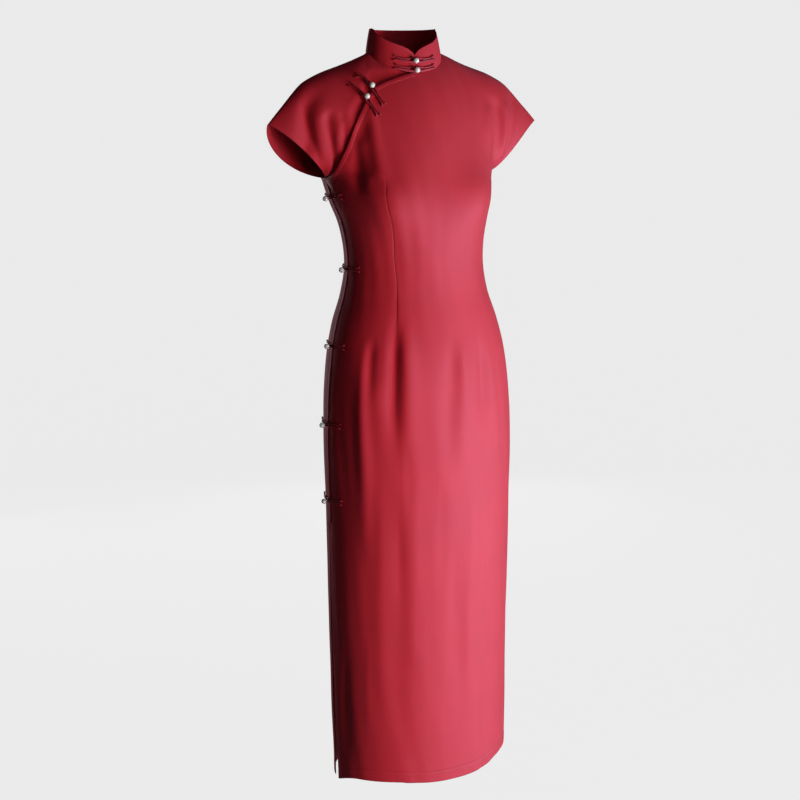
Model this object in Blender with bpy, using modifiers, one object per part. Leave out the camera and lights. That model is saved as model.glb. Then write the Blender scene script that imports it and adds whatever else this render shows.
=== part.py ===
"""Cheongsam dress: a worn, hollow garment built from the pieces a dressmaker cuts.

The cloth is worked out from a few body rings, a shoulder line, a neckline and the sleeve
mouths. Each panel is a grid of points on that form with its own wall thickness, and the
trims, cords and pearls are set on the panels' outer faces.

Units are metres. +Z is up, the front faces -Y, the wearer's right side is -X. The origin
is midway between the two side neck points.
"""

import math

import bpy
import numpy as np
from mathutils import Vector
from mathutils.bvhtree import BVHTree

FRONT, BACK = 1, -1

# ---------------------------------------------------------------- driving dimensions
GARMENT = "cheongsam_dress"
HEM_Z = -1.335             # side neck point to hem
UNDERARM_Z = -0.213        # side neck point to underarm
SLIT_TOP_Z = -0.845        # the side slits are 49 cm deep
CLOTH = 0.0015             # wall of the body cloth
COLLAR_WALL = 0.0022       # wall of the stiffened collar
BIND_WALL = 0.0008         # wall of the bound edge
BIND_WIDTH = 0.0072        # bound edge on the overlap and the side opening
BIND_START = -0.0035       # the bound edge starts this far below the collar
GAP = 0.0003               # clearance between neighbouring pieces
SEAM = 0.0009              # share of the quarter girth left free at a seam
UNDER_INSET = 0.0030       # underlap below the front where the two lap
UNDER_REACH = 0.16         # how far the underlap runs under the front, share of t
NECK_T = 0.36              # share of the quarter girth taken by the neckline
CORD_R = 0.0014            # frog cord radius
PEARL_R = 0.0050           # pearl button radius
SHANK_R = 0.0008           # pearl shank radius

# Body rings from the underarm to the hem.
#            z       half_w  front_d  back_d  centre_y
SECTIONS = ((-0.213, 0.1560, 0.1235, 0.1125, -0.0033),
            (-0.230, 0.1538, 0.1211, 0.1105, -0.0095),
            (-0.255, 0.1485, 0.1171, 0.1075, -0.0175),
            (-0.290, 0.1374, 0.1092, 0.1020, -0.0260),
            (-0.330, 0.1298, 0.1015, 0.0970, -0.0285),
            (-0.370, 0.1282, 0.0990, 0.0950, -0.0287),
            (-0.420, 0.1365, 0.1030, 0.1030, -0.0280),
            (-0.470, 0.1530, 0.1100, 0.1200, -0.0300),
            (-0.520, 0.1645, 0.1150, 0.1330, -0.0340),
            (-0.560, 0.1700, 0.1180, 0.1370, -0.0355),
            (-0.610, 0.1745, 0.1200, 0.1380, -0.0360),
            (-0.660, 0.1768, 0.1220, 0.1350, -0.0365),
            (-0.720, 0.1770, 0.1220, 0.1300, -0.0355),
            (-0.800, 0.1755, 0.1210, 0.1260, -0.0325),
            (-0.900, 0.1745, 0.1210, 0.1220, -0.0290),
            (-1.000, 0.1735, 0.1200, 0.1200, -0.0250),
            (-1.100, 0.1720, 0.1190, 0.1180, -0.0220),
            (-1.200, 0.1710, 0.1180, 0.1170, -0.0205),
            (-1.280, 0.1695, 0.1170, 0.1160, -0.0205),
            (-1.335, 0.1690, 0.1170, 0.1160, -0.0205))

# Shoulder and top of the grown-on sleeve, from the side neck point to the sleeve tip.
#            x       y        z
SHOULDER = ((0.0665, -0.0010, 0.0000),
            (0.1170, 0.0025, -0.0205),
            (0.1660, 0.0015, -0.0378),
            (0.1960, -0.0005, -0.0540),
            (0.2130, -0.0025, -0.0705),
            (0.2290, -0.0045, -0.0875),
            (0.2450, -0.0062, -0.1045),
            (0.2600, -0.0075, -0.1216))

# Neckline quarter arcs: distance from the side neck point to centre front or back.
#              depth_y  rise_z
NECK_FRONT = (-0.0508, -0.0358)
NECK_BACK = (0.0530, 0.0030)

# Handles of the curve that carries each column from the underarm ring to its top point.
# follow is the height over which the column keeps the slope of the body below it.
#               t    follow   low_x    low_y    low_z    top_x    top_y    top_z
RISE_FRONT = ((0.00, 0.0700, 0.0000, 0.0000, 0.0000, 0.0000, -0.0380, -0.0450),
              (0.12, 0.0720, 0.0000, 0.0000, 0.0000, 0.0110, -0.0370, -0.0430),
              (0.24, 0.0750, 0.0000, 0.0000, 0.0000, 0.0230, -0.0370, -0.0370),
              (0.36, 0.0800, 0.0000, 0.0000, 0.0000, 0.0320, -0.0440, -0.0270),
              (0.45, 0.0750, 0.0005, -0.0015, 0.0000, 0.0140, -0.0540, -0.0200),
              (0.60, 0.0600, 0.0020, -0.0060, 0.0000, 0.0000, -0.0540, -0.0150),
              (0.80, 0.0300, 0.0120, -0.0240, 0.0050, -0.0150, -0.0440, -0.0170),
              (1.00, 0.0000, 0.0140, -0.0522, 0.0064, -0.0362, -0.0273, -0.0169))
RISE_BACK = ((0.00, 0.0480, 0.0000, 0.0000, 0.0200, 0.0000, 0.0430, -0.0350),
             (0.12, 0.0480, 0.0000, 0.0000, 0.0200, 0.0120, 0.0420, -0.0340),
             (0.24, 0.0480, 0.0000, 0.0000, 0.0200, 0.0240, 0.0420, -0.0300),
             (0.36, 0.0480, 0.0000, 0.0000, 0.0200, 0.0330, 0.0480, -0.0250),
             (0.45, 0.0480, 0.0005, 0.0020, 0.0150, 0.0140, 0.0570, -0.0190),
             (0.60, 0.0600, 0.0020, 0.0060, 0.0000, 0.0000, 0.0600, -0.0150),
             (0.80, 0.0300, 0.0140, 0.0300, 0.0050, -0.0040, 0.0640, -0.0240),
             (1.00, 0.0000, 0.0341, 0.0715, 0.0019, -0.0109, 0.0662, -0.0437))

# Overlap edge on the front, from centre front at the neckline to the underarm.
#              t       h
OVERLAP = ((0.000, 0.0000),
           (-0.060, -0.0085),
           (-0.105, -0.0180),
           (-0.150, -0.0298),
           (-0.200, -0.0440),
           (-0.250, -0.0596),
           (-0.302, -0.0750),
           (-0.358, -0.0905),
           (-0.420, -0.1045),
           (-0.474, -0.1170),
           (-0.530, -0.1315),
           (-0.612, -0.1550),
           (-0.700, -0.1742),
           (-0.790, -0.1910),
           (-0.880, -0.2035),
           (-1.000, -0.2130))

# Hem line of each panel; it hangs a little unevenly.
#               t      front_z   back_z
HEMS = ((-1.00, -1.3290, -1.3230),
        (-0.80, -1.3160, -1.3210),
        (-0.50, -1.3130, -1.3200),
        (0.00, -1.3200, -1.3190),
        (0.30, -1.3180, -1.3170),
        (0.55, -1.3060, -1.3140),
        (1.00, -1.3020, -1.3080))

# Side slits at the hem: how far each edge is drawn back (share of t) and swings outward.
#                side    drawn   out_right  out_left
SLIT_EDGES = {FRONT: (0.026, 0.0010, 0.0010),
              BACK: (0.010, 0.0030, 0.0070)}

# Stand collar by distance round the neck: 0 centre back, 0.5 side, 1 centre front.
#             u      height  lean_in
COLLAR = ((0.000, 0.0370, 0.0060),
          (0.300, 0.0375, 0.0065),
          (0.500, 0.0385, 0.0072),
          (0.700, 0.0408, 0.0075),
          (0.850, 0.0415, 0.0080),
          (0.910, 0.0400, 0.0080),
          (0.950, 0.0370, 0.0078),
          (0.980, 0.0325, 0.0075),
          (1.000, 0.0270, 0.0070))

LONG_FOLD = 0.10           # a fold longer than this fades in and out along its length
UNDERARM_BEND = 0.018      # how far the bend under a sleeve is rounded

# Soft folds and swells on the form: a line in (t, h), its half width and its height (+ out).
#               t0      h0      t1      h1     half_w   height
FOLDS_FRONT = ((0.370, -0.252, 0.370, -0.258, 0.0480, 0.0150),      # bust
               (-0.370, -0.252, -0.370, -0.258, 0.0480, 0.0150),
               (-0.385, -0.125, -0.405, -0.205, 0.0140, 0.0040),    # chest, below the frogs
               (-0.480, -0.140, -0.520, -0.205, 0.0170, -0.0050),
               (-0.700, -0.110, -0.790, -0.170, 0.0150, -0.0035),   # right underarm
               (-0.790, -0.055, -0.950, -0.095, 0.0200, -0.0065),
               (0.600, -0.085, 0.585, -0.185, 0.0140, 0.0040),      # left underarm
               (0.680, -0.090, 0.720, -0.175, 0.0140, -0.0040),
               (0.760, -0.080, 0.840, -0.145, 0.0140, 0.0040),
               (-0.335, -0.440, -0.340, -0.730, 0.0140, -0.0048),   # hip
               (-0.250, -0.450, -0.245, -0.740, 0.0150, 0.0028),
               (-0.510, -0.480, -0.500, -0.610, 0.0130, -0.0034),
               (-0.595, -0.475, -0.565, -0.930, 0.0140, 0.0042),
               (-0.790, -0.460, -0.770, -0.980, 0.0320, -0.0026),
               (0.065, -0.480, 0.020, -0.720, 0.0140, -0.0023),
               (0.150, -0.480, 0.100, -0.760, 0.0150, 0.0026),
               (0.340, -0.485, 0.280, -0.710, 0.0140, -0.0034),
               (-0.450, -0.700, -0.450, -1.250, 0.0150, 0.0016),    # skirt
               (-0.330, -0.760, -0.335, -1.310, 0.0140, -0.0016),
               (-0.220, -0.660, -0.230, -1.200, 0.0150, 0.0015),
               (0.070, -0.800, 0.070, -1.310, 0.0150, -0.0015),
               (0.190, -0.740, 0.200, -1.260, 0.0150, 0.0016),
               (-0.800, -1.060, -0.830, -1.320, 0.0150, -0.0035))
FOLDS_BACK = ((0.380, -0.140, 0.400, -0.170, 0.0700, 0.0040),       # shoulder blades
              (-0.380, -0.140, -0.400, -0.170, 0.0700, 0.0040),
              (0.660, -0.090, 0.700, -0.190, 0.0150, -0.0045),      # underarms
              (-0.660, -0.090, -0.700, -0.190, 0.0150, -0.0045),
              (0.770, -0.080, 0.850, -0.160, 0.0150, 0.0045),
              (-0.770, -0.080, -0.850, -0.160, 0.0150, 0.0045),
              (0.300, -0.345, -0.250, -0.360, 0.0150, -0.0030),     # small of the back
              (0.450, -0.410, -0.050, -0.400, 0.0150, 0.0030),
              (0.340, -0.480, 0.330, -0.700, 0.0140, -0.0040),      # seat
              (-0.310, -0.470, -0.320, -0.730, 0.0140, -0.0036),
              (0.050, -0.530, 0.040, -0.800, 0.0150, -0.0028),
              (-0.200, -0.700, -0.210, -1.270, 0.0170, 0.0017),     # skirt
              (0.260, -0.760, 0.260, -1.310, 0.0170, 0.0018),
              (0.020, -0.820, 0.030, -1.300, 0.0170, -0.0016))

# Frogs on the panels: outer end on the front, place of the pearl, outer end on the far side.
#            name       side    t0      h0       t1      h1     side    t2      h2
FROGS = (("chest_1", FRONT, -0.256, -0.0985, -0.318, -0.0765, FRONT, -0.432, -0.0560),
         ("chest_2", FRONT, -0.325, -0.1220, -0.407, -0.0980, FRONT, -0.480, -0.0725),
         ("side_1", FRONT, -0.800, -0.2450, -1.000, -0.2450, BACK, -0.790, -0.2450),
         ("side_2", FRONT, -0.783, -0.3720, -1.000, -0.3720, BACK, -0.790, -0.3720),
         ("side_3", FRONT, -0.800, -0.5065, -1.000, -0.5065, BACK, -0.800, -0.5065),
         ("side_4", FRONT, -0.800, -0.6450, -1.000, -0.6450, BACK, -0.800, -0.6450),
         ("side_5", FRONT, -0.800, -0.7850, -1.000, -0.7850, BACK, -0.800, -0.7850))

# How each pearl hangs from its shank, added to the way out of the cloth.
SWAY = {"collar": (-0.30, 0.0, -0.50), "chest": (0.10, 0.0, 0.0), "side": (0.0, 0.0, -0.42)}

# Frogs on the collar: height above its lower edge at the pearl and at the outer ends.
#                   name      pearl_w  end_w
COLLAR_FROGS = (("collar_1", 0.0195, 0.0165),
                ("collar_2", 0.0040, 0.0030))
FROG_U = 0.215             # share of the neckline a collar half covers
LOOP_BEND = -0.0030        # the loop's bend passes behind the shank
BASE_BEND = 0.0065         # the other half's bend stops short of the loop

# Half of a frog, as a doubled cord: distance from the pearl and distance between its runs.
#             along   apart
CORD_RUN = ((0.0080, 0.0064),
            (0.0140, 0.0038),
            (0.0220, 0.0034),
            (0.0310, 0.0040),
            (0.0375, 0.0072))


def curve_through(rows):
    """Return a function that runs smoothly through a table, keyed by its first column."""
    data = np.array(sorted(rows), dtype=float)
    keys, vals = data[:, 0], data[:, 1:]
    step = np.diff(keys)[:, None]
    rise = np.diff(vals, axis=0) / step
    slope = np.empty_like(vals)
    slope[0], slope[-1] = rise[0], rise[-1]
    slope[1:-1] = (rise[:-1] * step[1:] + rise[1:] * step[:-1]) / (step[1:] + step[:-1])

    def at(key):
        i = int(np.clip(np.searchsorted(keys, key) - 1, 0, len(keys) - 2))
        w = step[i, 0]
        s = (min(max(key, keys[0]), keys[-1]) - keys[i]) / w
        s2, s3 = s * s, s * s * s
        return ((2 * s3 - 3 * s2 + 1) * vals[i] + (s3 - 2 * s2 + s) * w * slope[i]
                + (3 * s2 - 2 * s3) * vals[i + 1] + (s3 - s2) * w * slope[i + 1])

    return at


def shoulder_rows():
    """Key the shoulder table by the share of its length, from 0 to 1."""
    pts = np.array(SHOULDER)
    run = np.concatenate(([0.0], np.cumsum(np.linalg.norm(np.diff(pts, axis=0), axis=1))))
    return [(r / run[-1], *p) for r, p in zip(run, pts)]


section_at = curve_through(SECTIONS)
shoulder_at = curve_through(shoulder_rows())
hem_at = curve_through(HEMS)
collar_at = curve_through(COLLAR)
overlap_at = curve_through([(h, t) for t, h in OVERLAP])
rise_at = {FRONT: curve_through(RISE_FRONT), BACK: curve_through(RISE_BACK)}


def ring_point(side, t, z):
    """Point of a body ring: t runs from -1 at the right side seam to 1 at the left."""
    half_w, front_d, back_d, centre_y = section_at(z)
    a = t * math.pi / 2
    depth = front_d if side == FRONT else back_d
    return np.array((half_w * math.sin(a), centre_y - side * depth * math.cos(a), z))


def top_point(side, t):
    """Point of the neckline or, past it, of the shoulder and sleeve top."""
    s = math.copysign(1.0, t)
    if abs(t) <= NECK_T:
        a = abs(t) / NECK_T * math.pi / 2
        depth, rise = NECK_FRONT if side == FRONT else NECK_BACK
        x0, y0, z0 = SHOULDER[0]
        return np.array((s * x0 * math.sin(a), y0 + depth * math.cos(a), z0 + rise * math.cos(a)))
    x, y, z = shoulder_at((abs(t) - NECK_T) / (1.0 - NECK_T))
    return np.array((s * x, y, z))


def smooth_step(x):
    """Smooth step from 0 at 0 to 1 at 1."""
    x = min(max(x, 0.0), 1.0)
    return x * x * (3.0 - 2.0 * x)


def plain_point(side, t, h):
    """Point of the form. Above the underarm h runs to 0 at the neck and shoulder."""
    if h <= UNDERARM_Z:
        return ring_point(side, t, h)
    v = 1.0 - h / UNDERARM_Z
    s = math.copysign(1.0, t)
    p0, p1 = ring_point(side, t, UNDERARM_Z), top_point(side, t)
    slope = (p0 - ring_point(side, t, UNDERARM_Z - 0.004)) / 0.004
    follow, lx, ly, lz, tx, ty, tz = rise_at[side](abs(t))
    c0 = p0 + slope * follow + np.array((s * lx, ly, lz))
    c1 = p1 + np.array((s * tx, ty, tz))
    w = 1.0 - v
    return w ** 3 * p0 + 3 * w * w * v * c0 + 3 * w * v * v * c1 + v ** 3 * p1


def form_point(side, t, h):
    """Point of the form with the bend under each sleeve rounded."""
    far = min(max((abs(t) - NECK_T) / (1.0 - NECK_T), 0.0), 1.0)
    reach = UNDERARM_BEND * math.sin(math.pi * far) ** 2
    if reach < 1e-6 or abs(h - UNDERARM_Z) > reach:
        return plain_point(side, t, h)
    return (plain_point(side, t, h - reach + abs(h - UNDERARM_Z)) * 0.25
            + plain_point(side, t, h) * 0.5
            + plain_point(side, t, h + reach - abs(h - UNDERARM_Z)) * 0.25)


def fold_height(side, t, h):
    """Sum of the soft folds at a place on the form."""
    total = 0.0
    for t0, h0, t1, h1, half_w, height in (FOLDS_FRONT if side == FRONT else FOLDS_BACK):
        p = np.array((t * 0.23, h))
        a, b = np.array((t0 * 0.23, h0)), np.array((t1 * 0.23, h1))
        along = float(np.clip(np.dot(p - a, b - a) / np.dot(b - a, b - a), 0.0, 1.0))
        far = np.linalg.norm(p - a - along * (b - a)) / half_w
        if np.linalg.norm(b - a) > LONG_FOLD:
            height *= smooth_step(along / 0.30) * smooth_step((1.0 - along) / 0.50)
        total += height * math.exp(-far * far)
    return total


def normal_of(point, side, t, h):
    """Outward normal of a surface given as point(side, t, h)."""
    e = 0.002
    dt = point(side, min(t + e, 1.0), h) - point(side, max(t - e, -1.0), h)
    dh = point(side, t, min(h + e, 0.0)) - point(side, t, max(h - e, HEM_Z))
    n = np.cross(dt, dh) * side
    return n / np.linalg.norm(n)


def hem_z(side, t):
    """Height of the hem of a panel."""
    return float(hem_at(t)[0 if side == FRONT else 1])


def slit_share(side, t, h):
    """How far down the slit a place is, 0 at its top and 1 at the hem."""
    return min(max((SLIT_TOP_Z - h) / (SLIT_TOP_Z - hem_z(side, t)), 0.0), 1.0)


def cloth_point(side, t, h):
    """Point of the inner face of the cloth, with its folds and the swing of the slit edges."""
    n = normal_of(form_point, side, t, h)
    _, out_right, out_left = SLIT_EDGES[side]
    edge = max(0.0, (abs(t) - 0.70) / 0.30)
    swing = (out_left if t > 0 else out_right) * edge * edge * slit_share(side, t, h)
    return form_point(side, t, h) + n * (fold_height(side, t, h) + swing)


def edge_t(side, h):
    """Largest share of t a panel reaches at a height: the seam gap, or the drawn slit edge."""
    drawn = SLIT_EDGES[side][0]
    return 1.0 - SEAM - drawn * slit_share(side, 1.0, h) ** 1.3


def overlap_t(h):
    """Where the overlap edge of the front lies at a height."""
    return float(overlap_at(h)[0]) if h > UNDERARM_Z else -1.0


def collar_base(u):
    """Point of the neckline seam and the outward normal there, by distance round the neck."""
    side = FRONT if abs(u) > 0.5 else BACK
    share = (1.0 - abs(u)) * 2.0 if side == FRONT else abs(u) * 2.0
    t = math.copysign(NECK_T * share, u)
    return top_point(side, t), normal_of(form_point, side, t, -0.002)


def collar_point(u, w):
    """Point of the inner face of the collar: w is the height above its lower edge."""
    seat, n = collar_base(u)
    out = np.array((seat[0], seat[1] - SHOULDER[0][1], 0.0))
    out /= np.linalg.norm(out)
    height, lean = collar_at(abs(u))
    rise = w / height
    side = 1.0 - abs(2.0 * abs(u) - 1.0)
    seat = seat + n * (CLOTH + 0.0004 + 0.0018 * side * side) - out * 0.0011
    return seat + np.array((0.0, 0.0, w)) - out * lean * (0.75 * rise + 0.25 * rise * rise)


def collar_out(u, w):
    """Outward normal of the collar."""
    du = collar_point(min(u + 0.01, 1.0), w) - collar_point(max(u - 0.01, -1.0), w)
    n = np.cross(collar_point(u, w + 0.002) - collar_point(u, w - 0.002), du)
    return n / np.linalg.norm(n)


# ---------------------------------------------------------------- making the pieces
def new_collection(name):
    """Make a collection and hang it in the scene."""
    made = bpy.data.collections.new(name)
    bpy.context.scene.collection.children.link(made)
    return made


def new_material(name, colour, roughness, coat=0.0):
    """Make one plain finish."""
    made = bpy.data.materials.new(name)
    made.use_nodes = True
    shader = made.node_tree.nodes["Principled BSDF"]
    shader.inputs["Base Color"].default_value = (*colour, 1.0)
    shader.inputs["Roughness"].default_value = roughness
    shader.inputs["Coat Weight"].default_value = coat
    made.diffuse_color = (*colour, 1.0)
    return made


def add_object(name, data, material, home):
    """Put a mesh or curve in the garment's collection with its material."""
    data.materials.append(material)
    made = bpy.data.objects.new(name, data)
    home.objects.link(made)
    return made


def add_cloth(name, grid, wall, material, home):
    """Make a cloth piece from rows of points of its inner face, with a wall outwards."""
    rows, cols = len(grid), len(grid[0])
    verts = [tuple(p) for row in grid for p in row]
    faces = [(r * cols + c, r * cols + c + 1, (r + 1) * cols + c + 1, (r + 1) * cols + c)
             for r in range(rows - 1) for c in range(cols - 1)]
    mesh = bpy.data.meshes.new(name)
    mesh.from_pydata(verts, [], faces)
    mesh.update()
    for face in mesh.polygons:
        face.use_smooth = True
    made = add_object(name, mesh, material, home)
    skin = made.modifiers.new("Wall", "SOLIDIFY")
    skin.thickness = wall
    skin.offset = 1.0
    skin.use_rim = True
    return made


def add_cord(name, paths, material, home):
    """Make one cord object from lists of centre points."""
    curve = bpy.data.curves.new(name, "CURVE")
    curve.dimensions = "3D"
    curve.bevel_depth = CORD_R
    curve.bevel_resolution = 2
    curve.use_fill_caps = True
    for path in paths:
        spline = curve.splines.new("POLY")
        spline.points.add(len(path) - 1)
        for spot, p in zip(spline.points, path):
            spot.co = (*p, 1.0)
    return add_object(name, curve, material, home)


def add_pearl(name, foot, axis, lift, material, home):
    """Turn a pearl on its shank: foot on the cloth, lift from there to the pearl's centre."""
    meet = math.asin(SHANK_R / PEARL_R)
    profile = [(0.0, lift + PEARL_R)]
    profile += [(PEARL_R * math.sin(a), lift + PEARL_R * math.cos(a))
                for a in np.linspace(0.0, math.pi - meet, 9)[1:]]
    profile += [(SHANK_R, 0.0), (0.0, 0.0)]
    mesh = bpy.data.meshes.new(name)
    mesh.from_pydata([(x, 0.0, z) for x, z in profile],
                     [(i, i + 1) for i in range(len(profile) - 1)], [])
    made = add_object(name, mesh, material, home)
    made.location = Vector(foot)
    made.rotation_euler = Vector(axis).to_track_quat("Z", "Y").to_euler()
    turn = made.modifiers.new("Turn", "SCREW")
    turn.axis = "Z"
    turn.angle = 2 * math.pi
    turn.steps = turn.render_steps = 12
    turn.use_merge_vertices = True
    turn.merge_threshold = 0.00001
    turn.use_smooth_shade = True
    return made


class Skin:
    """The outer faces of finished pieces, so that others can be laid on them."""

    def __init__(self, objects):
        graph = bpy.context.evaluated_depsgraph_get()
        self.trees = [BVHTree.FromObject(o, graph) for o in objects]

    def above(self, point, n):
        """Height of the outermost face over a point, along its normal."""
        start = Vector(point) + Vector(n) * 0.010
        best = 0.0
        for tree in self.trees:
            spot, _, _, _ = tree.ray_cast(start, -Vector(n), 0.012)
            if spot is not None:
                best = max(best, (spot - Vector(point)).dot(Vector(n)))
        return best


# ---------------------------------------------------------------- the pieces of the dress
BODY_ROWS = [UNDERARM_Z - d for d in (0.0, 0.022, 0.050, 0.085, 0.120, 0.155, 0.190, 0.225,
                                      0.260, 0.300, 0.345, 0.395, 0.450, 0.510, 0.570)]
SKIRT_SHARES = (0.0, 0.14, 0.28, 0.43, 0.58, 0.73, 0.87, 1.0)
TOP_ROWS = [-0.00025, -0.008, -0.020, -0.036, -0.056, -0.0755, -0.096, -0.118, -0.140,
            -0.162, -0.180, -0.194, -0.204, -0.2095]
OUTER_T = [0.36, 0.44, 0.52, 0.60, 0.68, 0.76, 0.84, 0.92, 1.00]


def rows_below(side, column):
    """Heights of a column from the underarm row down to the hem."""
    hem = hem_z(side, column)
    skirt = [SLIT_TOP_Z + (hem - SLIT_TOP_Z) * s for s in SKIRT_SHARES]
    return BODY_ROWS + skirt


def panel_grid(side, columns, left_of=None):
    """Rows of points from the hem up. left_of(h) is the left edge where it isn't the seam."""
    grid = []
    lower = list(zip(*[rows_below(side, t) for t in columns]))
    for heights in reversed(lower):
        row = []
        for t, h in zip(columns, heights):
            limit = edge_t(side, h)
            row.append(cloth_point(side, min(max(t, -limit), limit), h))
        grid.append(row)
    for h in reversed(TOP_ROWS):
        limit = edge_t(side, h)
        left = -limit if left_of is None else left_of(h)
        row = []
        for t in columns:
            if t < OUTER_T[0] and left_of is not None:
                share = (t + 1.0) / (1.0 + OUTER_T[0])
                t = left + (OUTER_T[0] - left) * share
            row.append(cloth_point(side, min(max(t, left), limit), h))
        grid.append(row)
    return grid


def build_front(material, home):
    """The large front: left sleeve front, overlap edge and the whole skirt front."""
    inner = list(np.linspace(-1.0, OUTER_T[0], 25)[:-1])
    grid = panel_grid(FRONT, inner + OUTER_T, overlap_t)
    return add_cloth("front_panel", grid, CLOTH, material, home)


def build_back(material, home):
    """The back, cut in one with the backs of both sleeves."""
    inner = list(np.linspace(-OUTER_T[0], OUTER_T[0], 13)[1:-1])
    columns = [-t for t in reversed(OUTER_T)] + inner + OUTER_T
    grid = [row[::-1] for row in panel_grid(BACK, columns)]
    return add_cloth("back_panel", grid, CLOTH, material, home)


def build_underlap(material, home):
    """The small right front: shoulder, sleeve front and the part that runs under the front."""
    columns = [-t for t in reversed(OUTER_T)] + [-0.28, -0.20, -0.12, -0.04, 0.04, 0.10]
    span = columns[-1] + 1.0
    grid = []
    for h in [UNDERARM_Z - 0.022, UNDERARM_Z] + TOP_ROWS[::-1]:
        cut = overlap_t(h)
        right = min(cut + UNDER_REACH, columns[-1])
        row = []
        for t in columns:
            t = max(-1.0 + (right + 1.0) * (t + 1.0) / span, -edge_t(FRONT, h))
            taper = min(max((t - cut + 0.15) / 0.10, 0.0), 1.0)
            inset = UNDER_INSET * taper * taper * (3.0 - 2.0 * taper)
            n = normal_of(cloth_point, FRONT, t, h)
            row.append(cloth_point(FRONT, t, h) - n * inset)
        grid.append(row)
    return add_cloth("underlap_front", grid, CLOTH, material, home)


def build_collar(material, home):
    """The stand collar: one band whose rounded ends meet at centre front."""
    half = (0.06, 0.12, 0.18, 0.24, 0.30, 0.36, 0.42, 0.48, 0.54, 0.60, 0.66, 0.72, 0.78, 0.84,
            0.88, 0.915, 0.94, 0.96, 0.975, 0.9875, 0.9975)
    around = [-u for u in reversed(half)] + [0.0] + list(half)
    grid = []
    for share in (0.0, 0.25, 0.50, 0.75, 1.0):
        grid.append([collar_point(u, share * collar_at(abs(u))[0]) for u in around])
    return add_cloth("collar", [row[::-1] for row in grid], COLLAR_WALL, material, home)


def build_binding(skin, material, home):
    """The bound edge, laid on the front along the overlap and down the side opening."""
    steps = [(t, h) for t, h in OVERLAP]
    path = []
    for (t0, h0), (t1, h1) in zip(steps[:-1], steps[1:]):
        path += [(t0 + (t1 - t0) * k / 3, h0 + (h1 - h0) * k / 3) for k in range(3)]
    side = BODY_ROWS + [SLIT_TOP_Z + 0.012]
    path += [(-1.0, h0 + (h1 - h0) * k / 2) for h0, h1 in zip(side[:-1], side[1:])
             for k in range(2)]
    grid = []
    for _, h in path:
        h = min(h, BIND_START)
        t = overlap_t(h) if h > UNDERARM_Z else -edge_t(FRONT, h)
        t = min(max(t, -edge_t(FRONT, h)), -0.0008)
        here = cloth_point(FRONT, t, h)
        n = normal_of(cloth_point, FRONT, t, h)
        h0, h1 = min(h + 0.003, -0.0002), h - 0.003
        run = cloth_point(FRONT, overlap_t(h1), h1) - cloth_point(FRONT, overlap_t(h0), h0)
        across = np.cross(run, n)
        across /= -np.linalg.norm(across)
        e = 0.001
        s_t = (cloth_point(FRONT, t + e, h) - here) / e
        s_h = (here - cloth_point(FRONT, t, h - e)) / e
        step, _, _, _ = np.linalg.lstsq(np.stack((s_t, s_h), 1), across, rcond=None)
        row = []
        for share in (0.0003, BIND_WIDTH):
            tt, hh = t + step[0] * share, min(h + step[1] * share, BIND_START)
            p = cloth_point(FRONT, tt, hh)
            m = normal_of(cloth_point, FRONT, tt, hh)
            row.append((p, m, skin.above(p, m)))
        grid.append(row)
    lifted = []
    for i, row in enumerate(grid):
        near = grid[max(0, i - 1):i + 2]
        high = max(place[2] for other in near for place in other)
        lifted.append([p + m * (high + GAP + 0.0006) for p, m, _ in row])
    return add_cloth("overlap_binding", lifted[::-1], BIND_WALL, material, home)


# ---------------------------------------------------------------- frogs and pearls
def panel_line(side, t0, h0, t1, h1):
    """Return place(share) for a run over a panel, from the pearl at 0 to a half's end at 1."""
    def place(share):
        t, h, here = t0 + (t1 - t0) * share, h0 + (h1 - h0) * share, side
        if t < -1.0:
            t, here = -2.0 - t, -side
        return cloth_point(here, t, h), normal_of(cloth_point, here, t, h)

    return place


def collar_line(hand, w0, w1):
    """Return place(share) for a run over the collar, from centre front to one side."""
    def place(share):
        u, here = 1.0 - FROG_U * share, hand
        if u > 1.0:
            u, here = 2.0 - u, -hand
        w = w0 + (w1 - w0) * share
        return collar_point(here * u, w), collar_out(here * u, w)

    return place


def cord_half(place, skin, bend_at):
    """Centre points of a doubled cord: out on one side, round the bend, back on the other."""
    length = np.linalg.norm(place(1.0)[0] - place(0.0)[0])
    runs = [(along, apart / 2) for along, apart in CORD_RUN]
    first = max(runs[0][0], bend_at + 0.004)
    runs = [(first, runs[0][1])] + [r for r in runs if r[0] > first + 0.003]
    r = runs[0][1] * 0.92
    bend = [(bend_at + r * (1 - math.cos(a)), r * math.sin(a))
            for a in np.linspace(math.pi / 2, -math.pi / 2, 5)]
    flat = [(a, q) for a, q in reversed(runs)] + bend + [(a, -q) for a, q in runs]
    found = []
    for along, q in flat:
        p, n = place(along / length)
        p2, _ = place(along / length + 0.02)
        across = np.cross(n, p2 - p)
        across /= np.linalg.norm(across)
        seat = p + across * q
        below = max(skin.above(seat + across * d, n) for d in (-CORD_R, 0.0, CORD_R))
        found.append((seat, n, below))
    middles = [((a[0] + b[0]) / 2, a[1]) for a, b in zip(found[:-1], found[1:])]
    between = [skin.above(seat, n) for seat, n in middles]
    path = []
    for i, (seat, n, _) in enumerate(found):
        near = [f[2] for f in found[max(0, i - 1):i + 2]] + between[max(0, i - 1):i + 1]
        path.append(seat + n * (max(near) + GAP + 0.0002 + CORD_R))
    return path


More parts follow.
